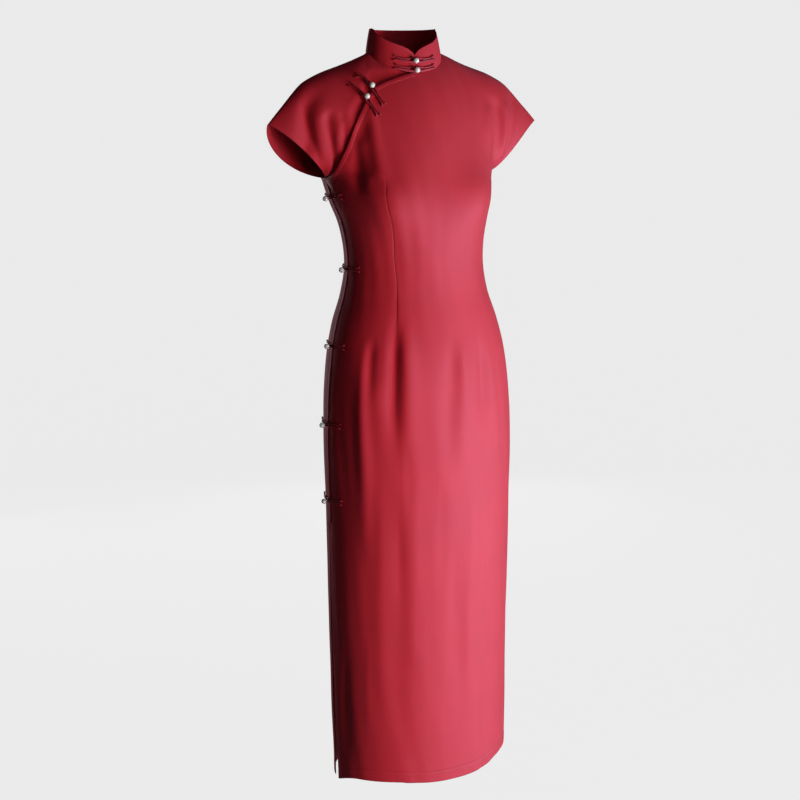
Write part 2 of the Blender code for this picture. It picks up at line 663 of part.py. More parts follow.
def build_frog(name, loop_line, base_line, skin, materials, home):
    """One frog: the loop half, the base half and the pearl that holds them together."""
    loop = cord_half(loop_line, skin, LOOP_BEND)
    base = cord_half(base_line, skin, BASE_BEND)
    add_cord("frog_" + name + "_loop", [loop], materials["cord"], home)
    add_cord("frog_" + name + "_base", [base], materials["cord"], home)
    seat, n = loop_line(0.0)
    n = n + base_line(0.0)[1]
    n /= np.linalg.norm(n)
    under = max(skin.above(*line(share)) for line in (loop_line, base_line)
                for share in (0.0, 0.02, 0.06, 0.12)) + 0.0003
    axis = n + np.array(SWAY[name.split("_")[0]])
    axis /= np.linalg.norm(axis)
    upright = float(np.dot(axis, n))
    pivot = seat + n * (under + GAP + CORD_R)
    foot = pivot - axis * ((CORD_R - 0.0003) / upright)
    rest = (PEARL_R - CORD_R) / upright
    clear = PEARL_R + CORD_R + 0.0004
    steps = [a + (b - a) * k / 4 for run in (loop, base)
             for a, b in zip(run[:-1], run[1:]) for k in range(4)]
    for p in steps:
        up = float(np.dot(p - pivot, axis))
        aside = float(np.linalg.norm(p - pivot - axis * up))
        if aside < clear:
            rest = max(rest, up + math.sqrt(clear * clear - aside * aside))
    lift = rest + float(np.linalg.norm(pivot - foot))
    add_pearl("pearl_" + name, foot, axis, lift, materials["pearl"], home)


def build_frogs(skin, materials, home):
    """All nine frogs: two on the collar, two on the chest and five down the right side."""
    for name, pearl_w, end_w in COLLAR_FROGS:
        build_frog(name, collar_line(1, pearl_w, end_w), collar_line(-1, pearl_w, end_w),
                   skin, materials, home)
    for name, side0, t0, h0, t1, h1, side2, t2, h2 in FROGS:
        build_frog(name, panel_line(side0, t1, h1, t0, h0), panel_line(side2, t1, h1, t2, h2),
                   skin, materials, home)


def build_garment():
    """Clear the file and make every piece of the dress."""
    for old in list(bpy.data.objects):
        bpy.data.objects.remove(old, do_unlink=True)
    home = new_collection(GARMENT)
    materials = {"cloth": new_material("crepe_red", (0.36, 0.012, 0.022), 0.55),
                 "facing": new_material("crepe_red_dark", (0.30, 0.010, 0.019), 0.60),
                 "trim": new_material("binding_red", (0.38, 0.014, 0.024), 0.45),
                 "cord": new_material("cord_red", (0.33, 0.010, 0.020), 0.50),
                 "pearl": new_material("pearl_white", (0.86, 0.84, 0.78), 0.18, 0.6)}
    front = build_front(materials["cloth"], home)
    back = build_back(materials["cloth"], home)
    under = build_underlap(materials["facing"], home)
    collar = build_collar(materials["cloth"], home)
    panels = [front, back, under, collar]
    binding = build_binding(Skin(panels), materials["trim"], home)
    build_frogs(Skin(panels + [binding]), materials, home)


build_garment()
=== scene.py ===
"""Looks of a worn cheongsam: cloth shells, collar, bound edge, frogs, pearls, plain studio.

Lengths are in metres, +Z is up, the dress faces -Y and the wearer's left is +X.
A place on the form is (t, h). t runs from -1 at the right side seam to 1 at the left one,
and h is the height below the side neck point, drawn up to 0 at the neckline and shoulders.
"""
import logging
import math
from dataclasses import dataclass
from enum import Enum
from typing import Callable, Sequence

import bpy
import numpy as np
from bpy.types import Material, NodeTree, Object
from mathutils import Matrix, Vector
from mathutils.bvhtree import BVHTree


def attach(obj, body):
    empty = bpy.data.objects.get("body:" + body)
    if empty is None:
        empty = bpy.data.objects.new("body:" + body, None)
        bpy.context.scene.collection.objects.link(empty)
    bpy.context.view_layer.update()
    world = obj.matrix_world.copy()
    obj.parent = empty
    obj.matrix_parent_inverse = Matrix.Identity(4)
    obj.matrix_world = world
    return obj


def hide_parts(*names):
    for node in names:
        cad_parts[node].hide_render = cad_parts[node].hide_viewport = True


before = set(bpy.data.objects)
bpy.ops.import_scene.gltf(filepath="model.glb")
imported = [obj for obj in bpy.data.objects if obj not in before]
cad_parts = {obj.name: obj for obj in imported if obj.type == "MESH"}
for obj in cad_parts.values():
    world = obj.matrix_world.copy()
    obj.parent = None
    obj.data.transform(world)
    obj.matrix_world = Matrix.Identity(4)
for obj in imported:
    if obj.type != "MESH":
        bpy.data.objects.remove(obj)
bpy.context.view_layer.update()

LOG = logging.getLogger("cheongsam")
Array = np.ndarray
Colour = tuple[float, float, float]
Faces = list[tuple[int, ...]]
Place = Callable[[Array], tuple[Array, Array]]
Socket = bpy.types.NodeSocket

# ------------------------------------------------------------------ the form of the dress
UNDERARM = -0.213          # side neck point to underarm
SLIT_TOP = -0.845          # top of both side slits
HEM_TURN = 0.020           # depth of the turned hem
QUARTER = 0.23             # metres a unit of t stands for when folds are measured
NECK_SHARE = 0.36          # share of t taken by the neckline
SEAM_SHARE = 0.0009        # share of t left free at a side seam
CLOTH_TOP = 0.0015         # outer face of the cloth over the form
SEAM_LIFT = 0.0001         # middle of the cloth over the form in a shoulder seam
BINDING_WIDTH = 0.0072     # finished width of the bound edge
CORD_RADIUS = 0.0014       # bias cord of the frogs
PEARL_RADIUS = 0.0050      # pearl button
SHANK_RADIUS = 0.0008      # its shank
GAP = 0.0003               # room between neighbouring pieces
LONG_FOLD = 0.10           # a fold longer than this fades in and out along its length
FOLD_RISE = 0.30           # share of a long fold over which it rises
FOLD_FALL = 0.50           # share of a long fold over which it dies away
FOLD_TIP = 0.62            # width of a long fold's tip, as a share of its full width
FOLD_SPREAD = 0.60         # share of a long fold over which it widens
UNDERARM_BEND = 0.018      # how far the bend under a sleeve is rounded
NECK_BEND = 0.075          # share of t over which the bend below the side neck is rounded
NECK_BEND_START = 0.025    # depth below the side neck over which that rounding grows
NECK_BEND_END = 0.080      # height above the underarm over which it fades
SLIT_CURVE = 1.3           # how a slit edge curves back on its way down
SWING_FROM = 0.70          # share of t from which a slit edge swings out
WALL = 0.0008              # one layer of cloth
TURNED = 0.0006            # what a turned hem, facing or sleeve edge adds to it
FACING_WIDTH = 0.0125      # facing of the slits
CUFF_WIDTH = 0.0150        # turned edge of a sleeve
TURN_STEP = 0.0010         # distance over which a turned layer ends
BORDER_ROUND = 0.6         # reach of a border's rounding, as a share of the cloth's thickness
RUBBED = 0.0016            # how far in from an edge the cloth is darkened: rubbed at a folded edge, painted shade along a seam
DRAW_SHARE = 0.03          # share of t past the side neck over which a seam's draw begins
DRAW_DEPTH = 0.0022        # how far below a shoulder seam the cloth is drawn in

# Body rings.  z       half_w  front_d  back_d  centre_y
SECTIONS = ((-0.213, 0.1560, 0.1235, 0.1125, -0.0033),
            (-0.230, 0.1538, 0.1211, 0.1105, -0.0095),
            (-0.255, 0.1485, 0.1171, 0.1075, -0.0175),
            (-0.290, 0.1374, 0.1092, 0.1020, -0.0260),
            (-0.330, 0.1298, 0.1015, 0.0970, -0.0285),
            (-0.370, 0.1282, 0.0990, 0.0950, -0.0287),
            (-0.420, 0.1365, 0.1030, 0.1030, -0.0280),
            (-0.470, 0.1530, 0.1100, 0.1200, -0.0300),
            (-0.520, 0.1645, 0.1150, 0.1330, -0.0340),
            (-0.560, 0.1700, 0.1180, 0.1370, -0.0355),
            (-0.610, 0.1745, 0.1200, 0.1380, -0.0360),
            (-0.660, 0.1768, 0.1220, 0.1350, -0.0365),
            (-0.720, 0.1770, 0.1220, 0.1300, -0.0355),
            (-0.800, 0.1755, 0.1210, 0.1260, -0.0325),
            (-0.900, 0.1745, 0.1210, 0.1220, -0.0290),
            (-1.000, 0.1735, 0.1200, 0.1200, -0.0250),
            (-1.100, 0.1720, 0.1190, 0.1180, -0.0220),
            (-1.200, 0.1710, 0.1180, 0.1170, -0.0205),
            (-1.280, 0.1695, 0.1170, 0.1160, -0.0205),
            (-1.335, 0.1690, 0.1170, 0.1160, -0.0205))

# Shoulder and sleeve top, from the neck to the sleeve tip.  x  y  z
SHOULDER = ((0.0665, -0.0010, 0.0000),
            (0.1170, 0.0025, -0.0205),
            (0.1660, 0.0015, -0.0378),
            (0.1960, -0.0005, -0.0540),
            (0.2130, -0.0025, -0.0705),
            (0.2290, -0.0045, -0.0875),
            (0.2450, -0.0062, -0.1045),
            (0.2600, -0.0075, -0.1216))

# Neckline quarter arcs.  depth_y  rise_z
NECKLINE = {"front": (-0.0508, -0.0358), "back": (0.0530, 0.0030)}

# Handles of the columns from the underarm ring up to the neckline and shoulder.
#               t    follow   low_x    low_y    low_z    top_x    top_y    top_z
RISE_FRONT = ((0.00, 0.0700, 0.0000, 0.0000, 0.0000, 0.0000, -0.0380, -0.0450),
              (0.12, 0.0720, 0.0000, 0.0000, 0.0000, 0.0110, -0.0370, -0.0430),
              (0.24, 0.0750, 0.0000, 0.0000, 0.0000, 0.0230, -0.0370, -0.0370),
              (0.36, 0.0800, 0.0000, 0.0000, 0.0000, 0.0320, -0.0440, -0.0270),
              (0.45, 0.0750, 0.0005, -0.0015, 0.0000, 0.0140, -0.0540, -0.0200),
              (0.60, 0.0600, 0.0020, -0.0060, 0.0000, 0.0000, -0.0540, -0.0150),
              (0.80, 0.0300, 0.0120, -0.0240, 0.0050, -0.0150, -0.0440, -0.0170),
              (1.00, 0.0000, 0.0140, -0.0522, 0.0064, -0.0362, -0.0273, -0.0169))
RISE_BACK = ((0.00, 0.0480, 0.0000, 0.0000, 0.0200, 0.0000, 0.0430, -0.0350),
             (0.12, 0.0480, 0.0000, 0.0000, 0.0200, 0.0120, 0.0420, -0.0340),
             (0.24, 0.0480, 0.0000, 0.0000, 0.0200, 0.0240, 0.0420, -0.0300),
             (0.36, 0.0480, 0.0000, 0.0000, 0.0200, 0.0330, 0.0480, -0.0250),
             (0.45, 0.0480, 0.0005, 0.0020, 0.0150, 0.0140, 0.0570, -0.0190),
             (0.60, 0.0600, 0.0020, 0.0060, 0.0000, 0.0000, 0.0600, -0.0150),
             (0.80, 0.0300, 0.0140, 0.0300, 0.0050, -0.0040, 0.0640, -0.0240),
             (1.00, 0.0000, 0.0341, 0.0715, 0.0019, -0.0109, 0.0662, -0.0437))

# Overlap edge, from centre front at the neckline to the right underarm.  t  h
OVERLAP = ((0.000, 0.0000), (-0.060, -0.0085), (-0.105, -0.0180), (-0.150, -0.0298),
           (-0.200, -0.0440), (-0.250, -0.0596), (-0.302, -0.0750), (-0.358, -0.0905),
           (-0.420, -0.1045), (-0.474, -0.1170), (-0.530, -0.1315), (-0.612, -0.1550),
           (-0.700, -0.1742), (-0.790, -0.1910), (-0.880, -0.2035), (-1.000, -0.2130))

# Hem line.  t  front_z  back_z
HEMS = ((-1.00, -1.3290, -1.3230), (-0.80, -1.3160, -1.3210), (-0.50, -1.3130, -1.3200),
        (0.00, -1.3200, -1.3190), (0.30, -1.3180, -1.3170), (0.55, -1.3060, -1.3140),
        (1.00, -1.3020, -1.3080))

# Stand collar by distance round the neck, 0 centre back to 1 centre front.
#             u      height  lean_in
COLLAR = ((0.000, 0.0370, 0.0060),
          (0.300, 0.0375, 0.0065),
          (0.500, 0.0385, 0.0072),
          (0.700, 0.0408, 0.0075),
          (0.850, 0.0415, 0.0080),
          (0.910, 0.0400, 0.0080),
          (0.950, 0.0370, 0.0078),
          (0.980, 0.0325, 0.0075),
          (1.000, 0.0270, 0.0070))

# Folds that the solids carry too.  t0  h0  t1  h1  half_width  height
FORM_FOLDS_FRONT = ((0.370, -0.252, 0.370, -0.258, 0.0480, 0.0150),      # bust
                    (-0.370, -0.252, -0.370, -0.258, 0.0480, 0.0150),
                    (-0.385, -0.125, -0.405, -0.205, 0.0140, 0.0040),    # right chest
                    (-0.480, -0.140, -0.520, -0.205, 0.0170, -0.0050),
                    (-0.700, -0.110, -0.790, -0.170, 0.0150, -0.0035),   # right underarm
                    (-0.790, -0.055, -0.950, -0.095, 0.0200, -0.0065),
                    (0.600, -0.085, 0.585, -0.185, 0.0140, 0.0040),      # left underarm
                    (0.680, -0.090, 0.720, -0.175, 0.0140, -0.0040),
                    (0.760, -0.080, 0.840, -0.145, 0.0140, 0.0040),
                    (-0.335, -0.440, -0.340, -0.730, 0.0140, -0.0048),   # hip
                    (-0.250, -0.450, -0.245, -0.740, 0.0150, 0.0028),
                    (-0.510, -0.480, -0.500, -0.610, 0.0130, -0.0034),
                    (-0.595, -0.475, -0.565, -0.930, 0.0140, 0.0042),
                    (-0.790, -0.460, -0.770, -0.980, 0.0320, -0.0026),
                    (0.065, -0.480, 0.020, -0.720, 0.0140, -0.0023),
                    (0.150, -0.480, 0.100, -0.760, 0.0150, 0.0026),
                    (0.340, -0.485, 0.280, -0.710, 0.0140, -0.0034),
                    (-0.450, -0.700, -0.450, -1.250, 0.0150, 0.0016),    # skirt
                    (-0.330, -0.760, -0.335, -1.310, 0.0140, -0.0016),
                    (-0.220, -0.660, -0.230, -1.200, 0.0150, 0.0015),
                    (0.070, -0.800, 0.070, -1.310, 0.0150, -0.0015),
                    (0.190, -0.740, 0.200, -1.260, 0.0150, 0.0016),
                    (-0.800, -1.060, -0.830, -1.320, 0.0150, -0.0035))
FORM_FOLDS_BACK = ((0.380, -0.140, 0.400, -0.170, 0.0700, 0.0040),       # shoulder blades
                   (-0.380, -0.140, -0.400, -0.170, 0.0700, 0.0040),
                   (0.660, -0.090, 0.700, -0.190, 0.0150, -0.0045),      # underarms
                   (-0.660, -0.090, -0.700, -0.190, 0.0150, -0.0045),
                   (0.770, -0.080, 0.850, -0.160, 0.0150, 0.0045),
                   (-0.770, -0.080, -0.850, -0.160, 0.0150, 0.0045),
                   (0.300, -0.345, -0.250, -0.360, 0.0150, -0.0030),     # small of the back
                   (0.450, -0.410, -0.050, -0.400, 0.0150, 0.0030),
                   (0.340, -0.480, 0.330, -0.700, 0.0140, -0.0040),      # seat
                   (-0.310, -0.470, -0.320, -0.730, 0.0140, -0.0036),
                   (0.050, -0.530, 0.040, -0.800, 0.0150, -0.0028),
                   (-0.200, -0.700, -0.210, -1.270, 0.0170, 0.0017),     # skirt
                   (0.260, -0.760, 0.260, -1.310, 0.0170, 0.0018),
                   (0.020, -0.820, 0.030, -1.300, 0.0170, -0.0016))

# Finer creases, only in the cloth.
#                  t0      h0      t1      h1     width   height
CREASES_FRONT = ((-0.798, -0.026, -0.955, -0.160, 0.0110, -0.0044),      # right sleeve
                 (-0.705, -0.100, -0.772, -0.178, 0.0085, -0.0034),
                 (-0.602, -0.112, -0.640, -0.170, 0.0075, -0.0026),
                 (-0.560, -0.150, -0.590, -0.225, 0.0120, -0.0042),      # by the overlap
                 (-0.500, -0.165, -0.505, -0.215, 0.0120, 0.0034),
                 (0.815, -0.030, 0.895, -0.125, 0.0085, -0.0026),        # left sleeve
                 (0.685, -0.078, 0.768, -0.145, 0.0050, -0.0010),
                 (-0.362, -0.446, -0.360, -0.700, 0.0090, -0.0024),      # from the right dart
                 (-0.290, -0.455, -0.288, -0.710, 0.0100, 0.0026),
                 (-0.545, -0.485, -0.540, -0.600, 0.0080, -0.0016),      # right hip
                 (-0.488, -0.480, -0.480, -0.625, 0.0090, 0.0016),
                 (0.125, -0.487, 0.165, -0.660, 0.0100, 0.0012),         # left hip
                 (0.305, -0.487, 0.300, -0.670, 0.0090, -0.0016),
                 (0.400, -0.500, 0.440, -0.740, 0.0120, 0.0012),
                 (-0.372, -0.400, -0.335, -0.500, 0.0050, -0.0008),
                 (-0.420, -0.720, -0.395, -1.180, 0.0080, -0.0005),      # skirt
                 (-0.300, -0.640, -0.262, -1.020, 0.0070, 0.0005),
                 (-0.150, -0.900, -0.165, -1.310, 0.0080, 0.0004),
                 (-0.020, -0.680, -0.050, -1.090, 0.0070, -0.0004),
                 (0.130, -0.860, 0.110, -1.300, 0.0080, -0.0004),
                 (0.260, -0.700, 0.300, -1.160, 0.0070, 0.0005),
                 (0.400, -0.920, 0.380, -1.290, 0.0090, -0.0005),
                 (-0.560, -1.010, -0.600, -1.310, 0.0090, 0.0006))
CREASES_BACK = ((0.500, -0.430, 0.450, -0.560, 0.0060, -0.0008),
                (-0.480, -0.420, -0.440, -0.600, 0.0070, -0.0010),
                (0.150, -0.470, 0.170, -0.690, 0.0090, 0.0012),
                (-0.120, -0.500, -0.130, -0.760, 0.0090, -0.0010),
                (-0.420, -0.760, -0.400, -1.240, 0.0080, 0.0005),
                (-0.060, -0.840, -0.080, -1.300, 0.0080, -0.0004),
                (0.140, -0.720, 0.120, -1.150, 0.0070, 0.0005),
                (0.450, -0.880, 0.470, -1.290, 0.0090, -0.0005))

# Waist darts as stitched lines.  h  t
DART_RIGHT = ((-0.196, -0.352), (-0.220, -0.367), (-0.243, -0.383), (-0.300, -0.384),
              (-0.364, -0.383), (-0.387, -0.367), (-0.430, -0.350), (-0.493, -0.333))
DART_LEFT = ((-0.200, 0.330), (-0.243, 0.322), (-0.300, 0.318), (-0.334, 0.317),
             (-0.387, 0.315), (-0.440, 0.305), (-0.490, 0.300))
DART_BACK = ((-0.225, 0.400), (-0.300, 0.385), (-0.370, 0.378), (-0.440, 0.385),
             (-0.520, 0.400))

# Frogs on the panels: end on the front, place of the pearl, end on the far side.
#            name       side1    t0      h0       t1      h1     side2   t2      h2
FROGS = (("chest_1", "front", -0.256, -0.0985, -0.318, -0.0765, "front", -0.432, -0.0560),
         ("chest_2", "front", -0.325, -0.1220, -0.407, -0.0980, "front", -0.480, -0.0725),
         ("side_1", "front", -0.800, -0.2450, -1.000, -0.2450, "back", -0.790, -0.2450),
         ("side_2", "front", -0.783, -0.3720, -1.000, -0.3720, "back", -0.790, -0.3720),
         ("side_3", "front", -0.800, -0.5065, -1.000, -0.5065, "back", -0.800, -0.5065),
         ("side_4", "front", -0.800, -0.6450, -1.000, -0.6450, "back", -0.800, -0.6450),
         ("side_5", "front", -0.800, -0.7850, -1.000, -0.7850, "back", -0.800, -0.7850))

# How each pearl hangs from its shank, added to the way out of the cloth.
SWAY = {"collar": (-0.30, 0.0, -0.50), "chest": (0.10, 0.0, 0.0), "side": (0.0, 0.0, -0.42)}

# Frogs on the collar.  name  height at the pearl  height at the ends
COLLAR_FROGS = (("collar_1", 0.0195, 0.0165), ("collar_2", 0.0040, 0.0030))
COLLAR_FROG_REACH = 0.215  # share of half the neckline that one half of a collar frog covers
LOOP_BEND = -0.0030        # the loop's bend passes behind the shank
BASE_BEND = 0.0065         # the other half's bend stops short of the loop

# Half of a frog: distance from the pearl and distance between its two runs.
CORD_RUN = ((0.0080, 0.0064), (0.0140, 0.0038), (0.0220, 0.0034), (0.0310, 0.0040),
            (0.0375, 0.0072))


class Side(Enum):
    """The two halves of the form; the value is the sign of the way that a half faces."""

    FRONT = 1
    BACK = -1


class Curve:
    """A smooth curve through the rows of a table, keyed by the table's first column."""

    def __init__(self, rows: Sequence[Sequence[float]]) -> None:
        """Fit the slopes of the curve.

        Args:
            rows: The table; the first number of each row is its key.
        """
        data = np.array(sorted(rows), dtype=float)
        self.keys, self.values = data[:, 0], data[:, 1:]
        self.step = np.diff(self.keys)
        rise = np.diff(self.values, axis=0) / self.step[:, None]
        wide = self.step[:, None]
        self.slope = np.empty_like(self.values)
        self.slope[0], self.slope[-1] = rise[0], rise[-1]
        self.slope[1:-1] = (rise[:-1] * wide[1:] + rise[1:] * wide[:-1]) / (wide[1:] + wide[:-1])

    def __call__(self, key: Array | float) -> Array:
        """Read the curve.

        Args:
            key: Where to read it; past its ends the curve holds its end value.

        Returns:
            The row of the curve at each key.
        """
        key = np.clip(np.asarray(key, dtype=float), self.keys[0], self.keys[-1])
        i = np.clip(np.searchsorted(self.keys, key) - 1, 0, len(self.keys) - 2)
        wide = self.step[i][..., None]
        s = ((key - self.keys[i]) / self.step[i])[..., None]
        s2, s3 = s * s, s * s * s
        return ((2 * s3 - 3 * s2 + 1) * self.values[i] + (s3 - 2 * s2 + s) * wide * self.slope[i]
                + (3 * s2 - 2 * s3) * self.values[i + 1] + (s3 - s2) * wide * self.slope[i + 1])


@dataclass(frozen=True)
class Fold:
    """A soft trough or ridge along a line on the form."""

    t0: float
    h0: float
    t1: float
    h1: float
    width: float
    height: float

    def lift(self, t: Array, h: Array) -> Array:
        """Measure the fold at each place.

        Args:
            t: Shares round the form.
            h: Heights.

        Returns:
            How far the fold moves the cloth outward.
        """
        x, y = (t - self.t0) * QUARTER, h - self.h0
        dx, dy = (self.t1 - self.t0) * QUARTER, self.h1 - self.h0
        long = math.hypot(dx, dy)
        free = (x * dx + y * dy) / long ** 2
        s = np.clip(free, 0.0, 1.0)
        aside = (y * dx - x * dy) / long
        past = (free - s) * long
        width, height = self.width, self.height
        if long > LONG_FOLD:
            height = height * soft_step(s / FOLD_RISE) * soft_step((1.0 - s) / FOLD_FALL)
            width = width * (FOLD_TIP + (1.0 - FOLD_TIP) * soft_step(s / FOLD_SPREAD))
        far = (aside ** 2 + past ** 2) / width ** 2
        return height * np.exp(-far)


def soft_step(x: Array | float) -> Array:
    """Return a smooth step from 0 at 0 to 1 at 1."""
    x = np.clip(x, 0.0, 1.0)
    return x * x * (3.0 - 2.0 * x)


def bell(x: Array, width: float) -> Array:
    """Return a bell curve, 1 at 0."""
    return np.exp(-(x / width) ** 2)


class DressForm:
    """The hollow figure of the dress: its smooth surface, folds and edges."""

    def __init__(self) -> None:
        """Read the tables of the form."""
        points = np.array(SHOULDER)
        run = np.cumsum(np.linalg.norm(np.diff(points, axis=0), axis=1))
        run = np.concatenate(([0.0], run)) / run[-1]
        self.sections = Curve(SECTIONS)
        self.shoulder = Curve([(r, *p) for r, p in zip(run, points)])
        self.rise = {Side.FRONT: Curve(RISE_FRONT), Side.BACK: Curve(RISE_BACK)}
        self.hems = Curve(HEMS)
        self.overlap = Curve([(h, t) for t, h in OVERLAP])
        self.folds = {Side.FRONT: [Fold(*row) for row in FORM_FOLDS_FRONT],
                      Side.BACK: [Fold(*row) for row in FORM_FOLDS_BACK]}
        # slit edges: share drawn back, then how far the right and left edge swing out
        self.slits = {Side.FRONT: (0.026, 0.0010, 0.0010), Side.BACK: (0.010, 0.0030, 0.0070)}

    def ring(self, side: Side, t: Array, z: Array) -> Array:
        """Find points of the body rings.

        Args:
            side: Front or back.
            t: Shares round the form.
            z: Heights.

        Returns:
            The points.
        """
        half_w, front_d, back_d, centre = np.moveaxis(self.sections(z), -1, 0)
        depth = front_d if side is Side.FRONT else back_d
        a = t * math.pi / 2
        return np.stack((half_w * np.sin(a), centre - side.value * depth * np.cos(a),
                         np.broadcast_to(z, np.shape(a)).astype(float)), axis=-1)

    def top(self, side: Side, t: Array) -> Array:
        """Find points of the neckline and, past it, of the shoulder and sleeve top.

        Args:
            side: Front or back.
            t: Shares round the form.

        Returns:
            The points.
        """
        sign, far = np.where(t < 0, -1.0, 1.0), np.abs(t)
        depth, rise = NECKLINE["front" if side is Side.FRONT else "back"]
        a = np.minimum(far / NECK_SHARE, 1.0) * math.pi / 2
        x0, y0, z0 = SHOULDER[0]
        neck = np.stack((x0 * np.sin(a), y0 + depth * np.cos(a), z0 + rise * np.cos(a)), axis=-1)
        arm = self.shoulder((far - NECK_SHARE) / (1.0 - NECK_SHARE))
        found = np.where((far <= NECK_SHARE)[..., None], neck, arm)
        found[..., 0] *= sign
        return found

    def smooth(self, side: Side, t: Array, h: Array) -> Array:
        """Round the bends under the sleeves and below the side neck.

        Args:
            side: Front or back.
            t: Shares round the form.
            h: Heights.

        Returns:
            Points of the form without its folds.
        """
        t, h = np.broadcast_arrays(np.asarray(t, float), np.asarray(h, float))
        far = np.clip((np.abs(t) - NECK_SHARE) / (1.0 - NECK_SHARE), 0.0, 1.0)
        near = np.abs(h - UNDERARM)
        reach = np.maximum(UNDERARM_BEND * np.sin(math.pi * far) ** 2 - near, 0.0)
        beside = np.abs(np.abs(t) - NECK_SHARE)
        bend = NECK_BEND * soft_step(-h / NECK_BEND_START)
        swing = np.maximum(bend * soft_step((h - UNDERARM) / NECK_BEND_END) - beside, 0.0)
        return (self.plain(side, t, h - reach) + self.plain(side, t, h + reach)
                + self.plain(side, t - swing, h) + self.plain(side, t + swing, h)) * 0.25

    def plain(self, side: Side, t: Array, h: Array) -> Array:
        """Join the body rings to the neckline and the shoulders.

        Args:
            side: Front or back.
            t: Shares round the form.
            h: Heights.

        Returns:
            Points of the form before its bends are rounded.
        """
        t, h = np.broadcast_arrays(np.asarray(t, float), np.asarray(h, float))
        low = self.ring(side, t, np.minimum(h, UNDERARM))
        base = np.full_like(h, UNDERARM)
        p0, p1 = self.ring(side, t, base), self.top(side, t)
        step = 0.004
        slope = (p0 - self.ring(side, t, base - step)) / step
        follow, lx, ly, lz, tx, ty, tz = np.moveaxis(self.rise[side](np.abs(t)), -1, 0)
        sign = np.where(t < 0, -1.0, 1.0)
        c0 = p0 + slope * follow[..., None] + np.stack((sign * lx, ly, lz), axis=-1)
        c1 = p1 + np.stack((sign * tx, ty, tz), axis=-1)
        v = np.clip(1.0 - h / UNDERARM, 0.0, 1.0)[..., None]
        w = 1.0 - v
        high = w ** 3 * p0 + 3 * w * w * v * c0 + 3 * w * v * v * c1 + v ** 3 * p1
        return np.where((h <= UNDERARM)[..., None], low, high)

    def facing(self, side: Side, t: Array, h: Array) -> Array:
        """Find the outward normals of the smooth form.

        Args:
            side: Front or back.
            t: Shares round the form.
            h: Heights.

        Returns:
            The normals.
        """
        e = 0.002
        dt = (self.smooth(side, np.minimum(t + e, 1.0), h)
              - self.smooth(side, np.maximum(t - e, -1.0), h))
        dh = (self.smooth(side, t, np.minimum(h + e, 0.0))
              - self.smooth(side, t, np.maximum(h - e, SECTIONS[-1][0])))
        n = np.cross(dt, dh) * side.value
        return n / np.linalg.norm(n, axis=-1, keepdims=True)

    def hem(self, side: Side, t: Array) -> Array:
        """Return the height of the hem."""
        return self.hems(t)[..., 0 if side is Side.FRONT else 1]

    def slit_share(self, side: Side, t: Array, h: Array) -> Array:
        """Return how far down the slit a place is, 0 at its top and 1 at the hem."""
        return np.clip((SLIT_TOP - h) / (SLIT_TOP - self.hem(side, t)), 0.0, 1.0)

    def reach(self, side: Side, h: Array) -> Array:
        """Find how far round a panel goes.

        Args:
            side: Front or back.
            h: Heights.

        Returns:
            The largest share of t that the panel reaches at each height.
        """
        drawn = self.slits[side][0]
        down = self.slit_share(side, np.ones_like(h), h)
        return 1.0 - SEAM_SHARE - drawn * down ** SLIT_CURVE

    def overlap_at(self, h: Array) -> Array:
        """Return the share of t at which the overlap edge of the front lies."""
        return np.where(h > UNDERARM, self.overlap(h)[..., 0], -1.0)

    def cloth(self, side: Side, t: Array, h: Array) -> tuple[Array, Array]:
        """Lay the cloth on the form, with the form's folds.

        Args:
            side: Front or back.
            t: Shares round the form.
            h: Heights.

        Returns:
            Points of the inner face of the cloth, and the outward normals there.
        """
        t, h = np.broadcast_arrays(np.asarray(t, float), np.asarray(h, float))
        n = self.facing(side, t, h)
        _, right, left = self.slits[side]
        edge = np.maximum(0.0, (np.abs(t) - SWING_FROM) / (1.0 - SWING_FROM))
        lift = np.where(t > 0, left, right) * edge * edge * self.slit_share(side, t, h)
        for fold in self.folds[side]:
            lift = lift + fold.lift(t, h)
        return self.smooth(side, t, h) + n * lift[..., None], n


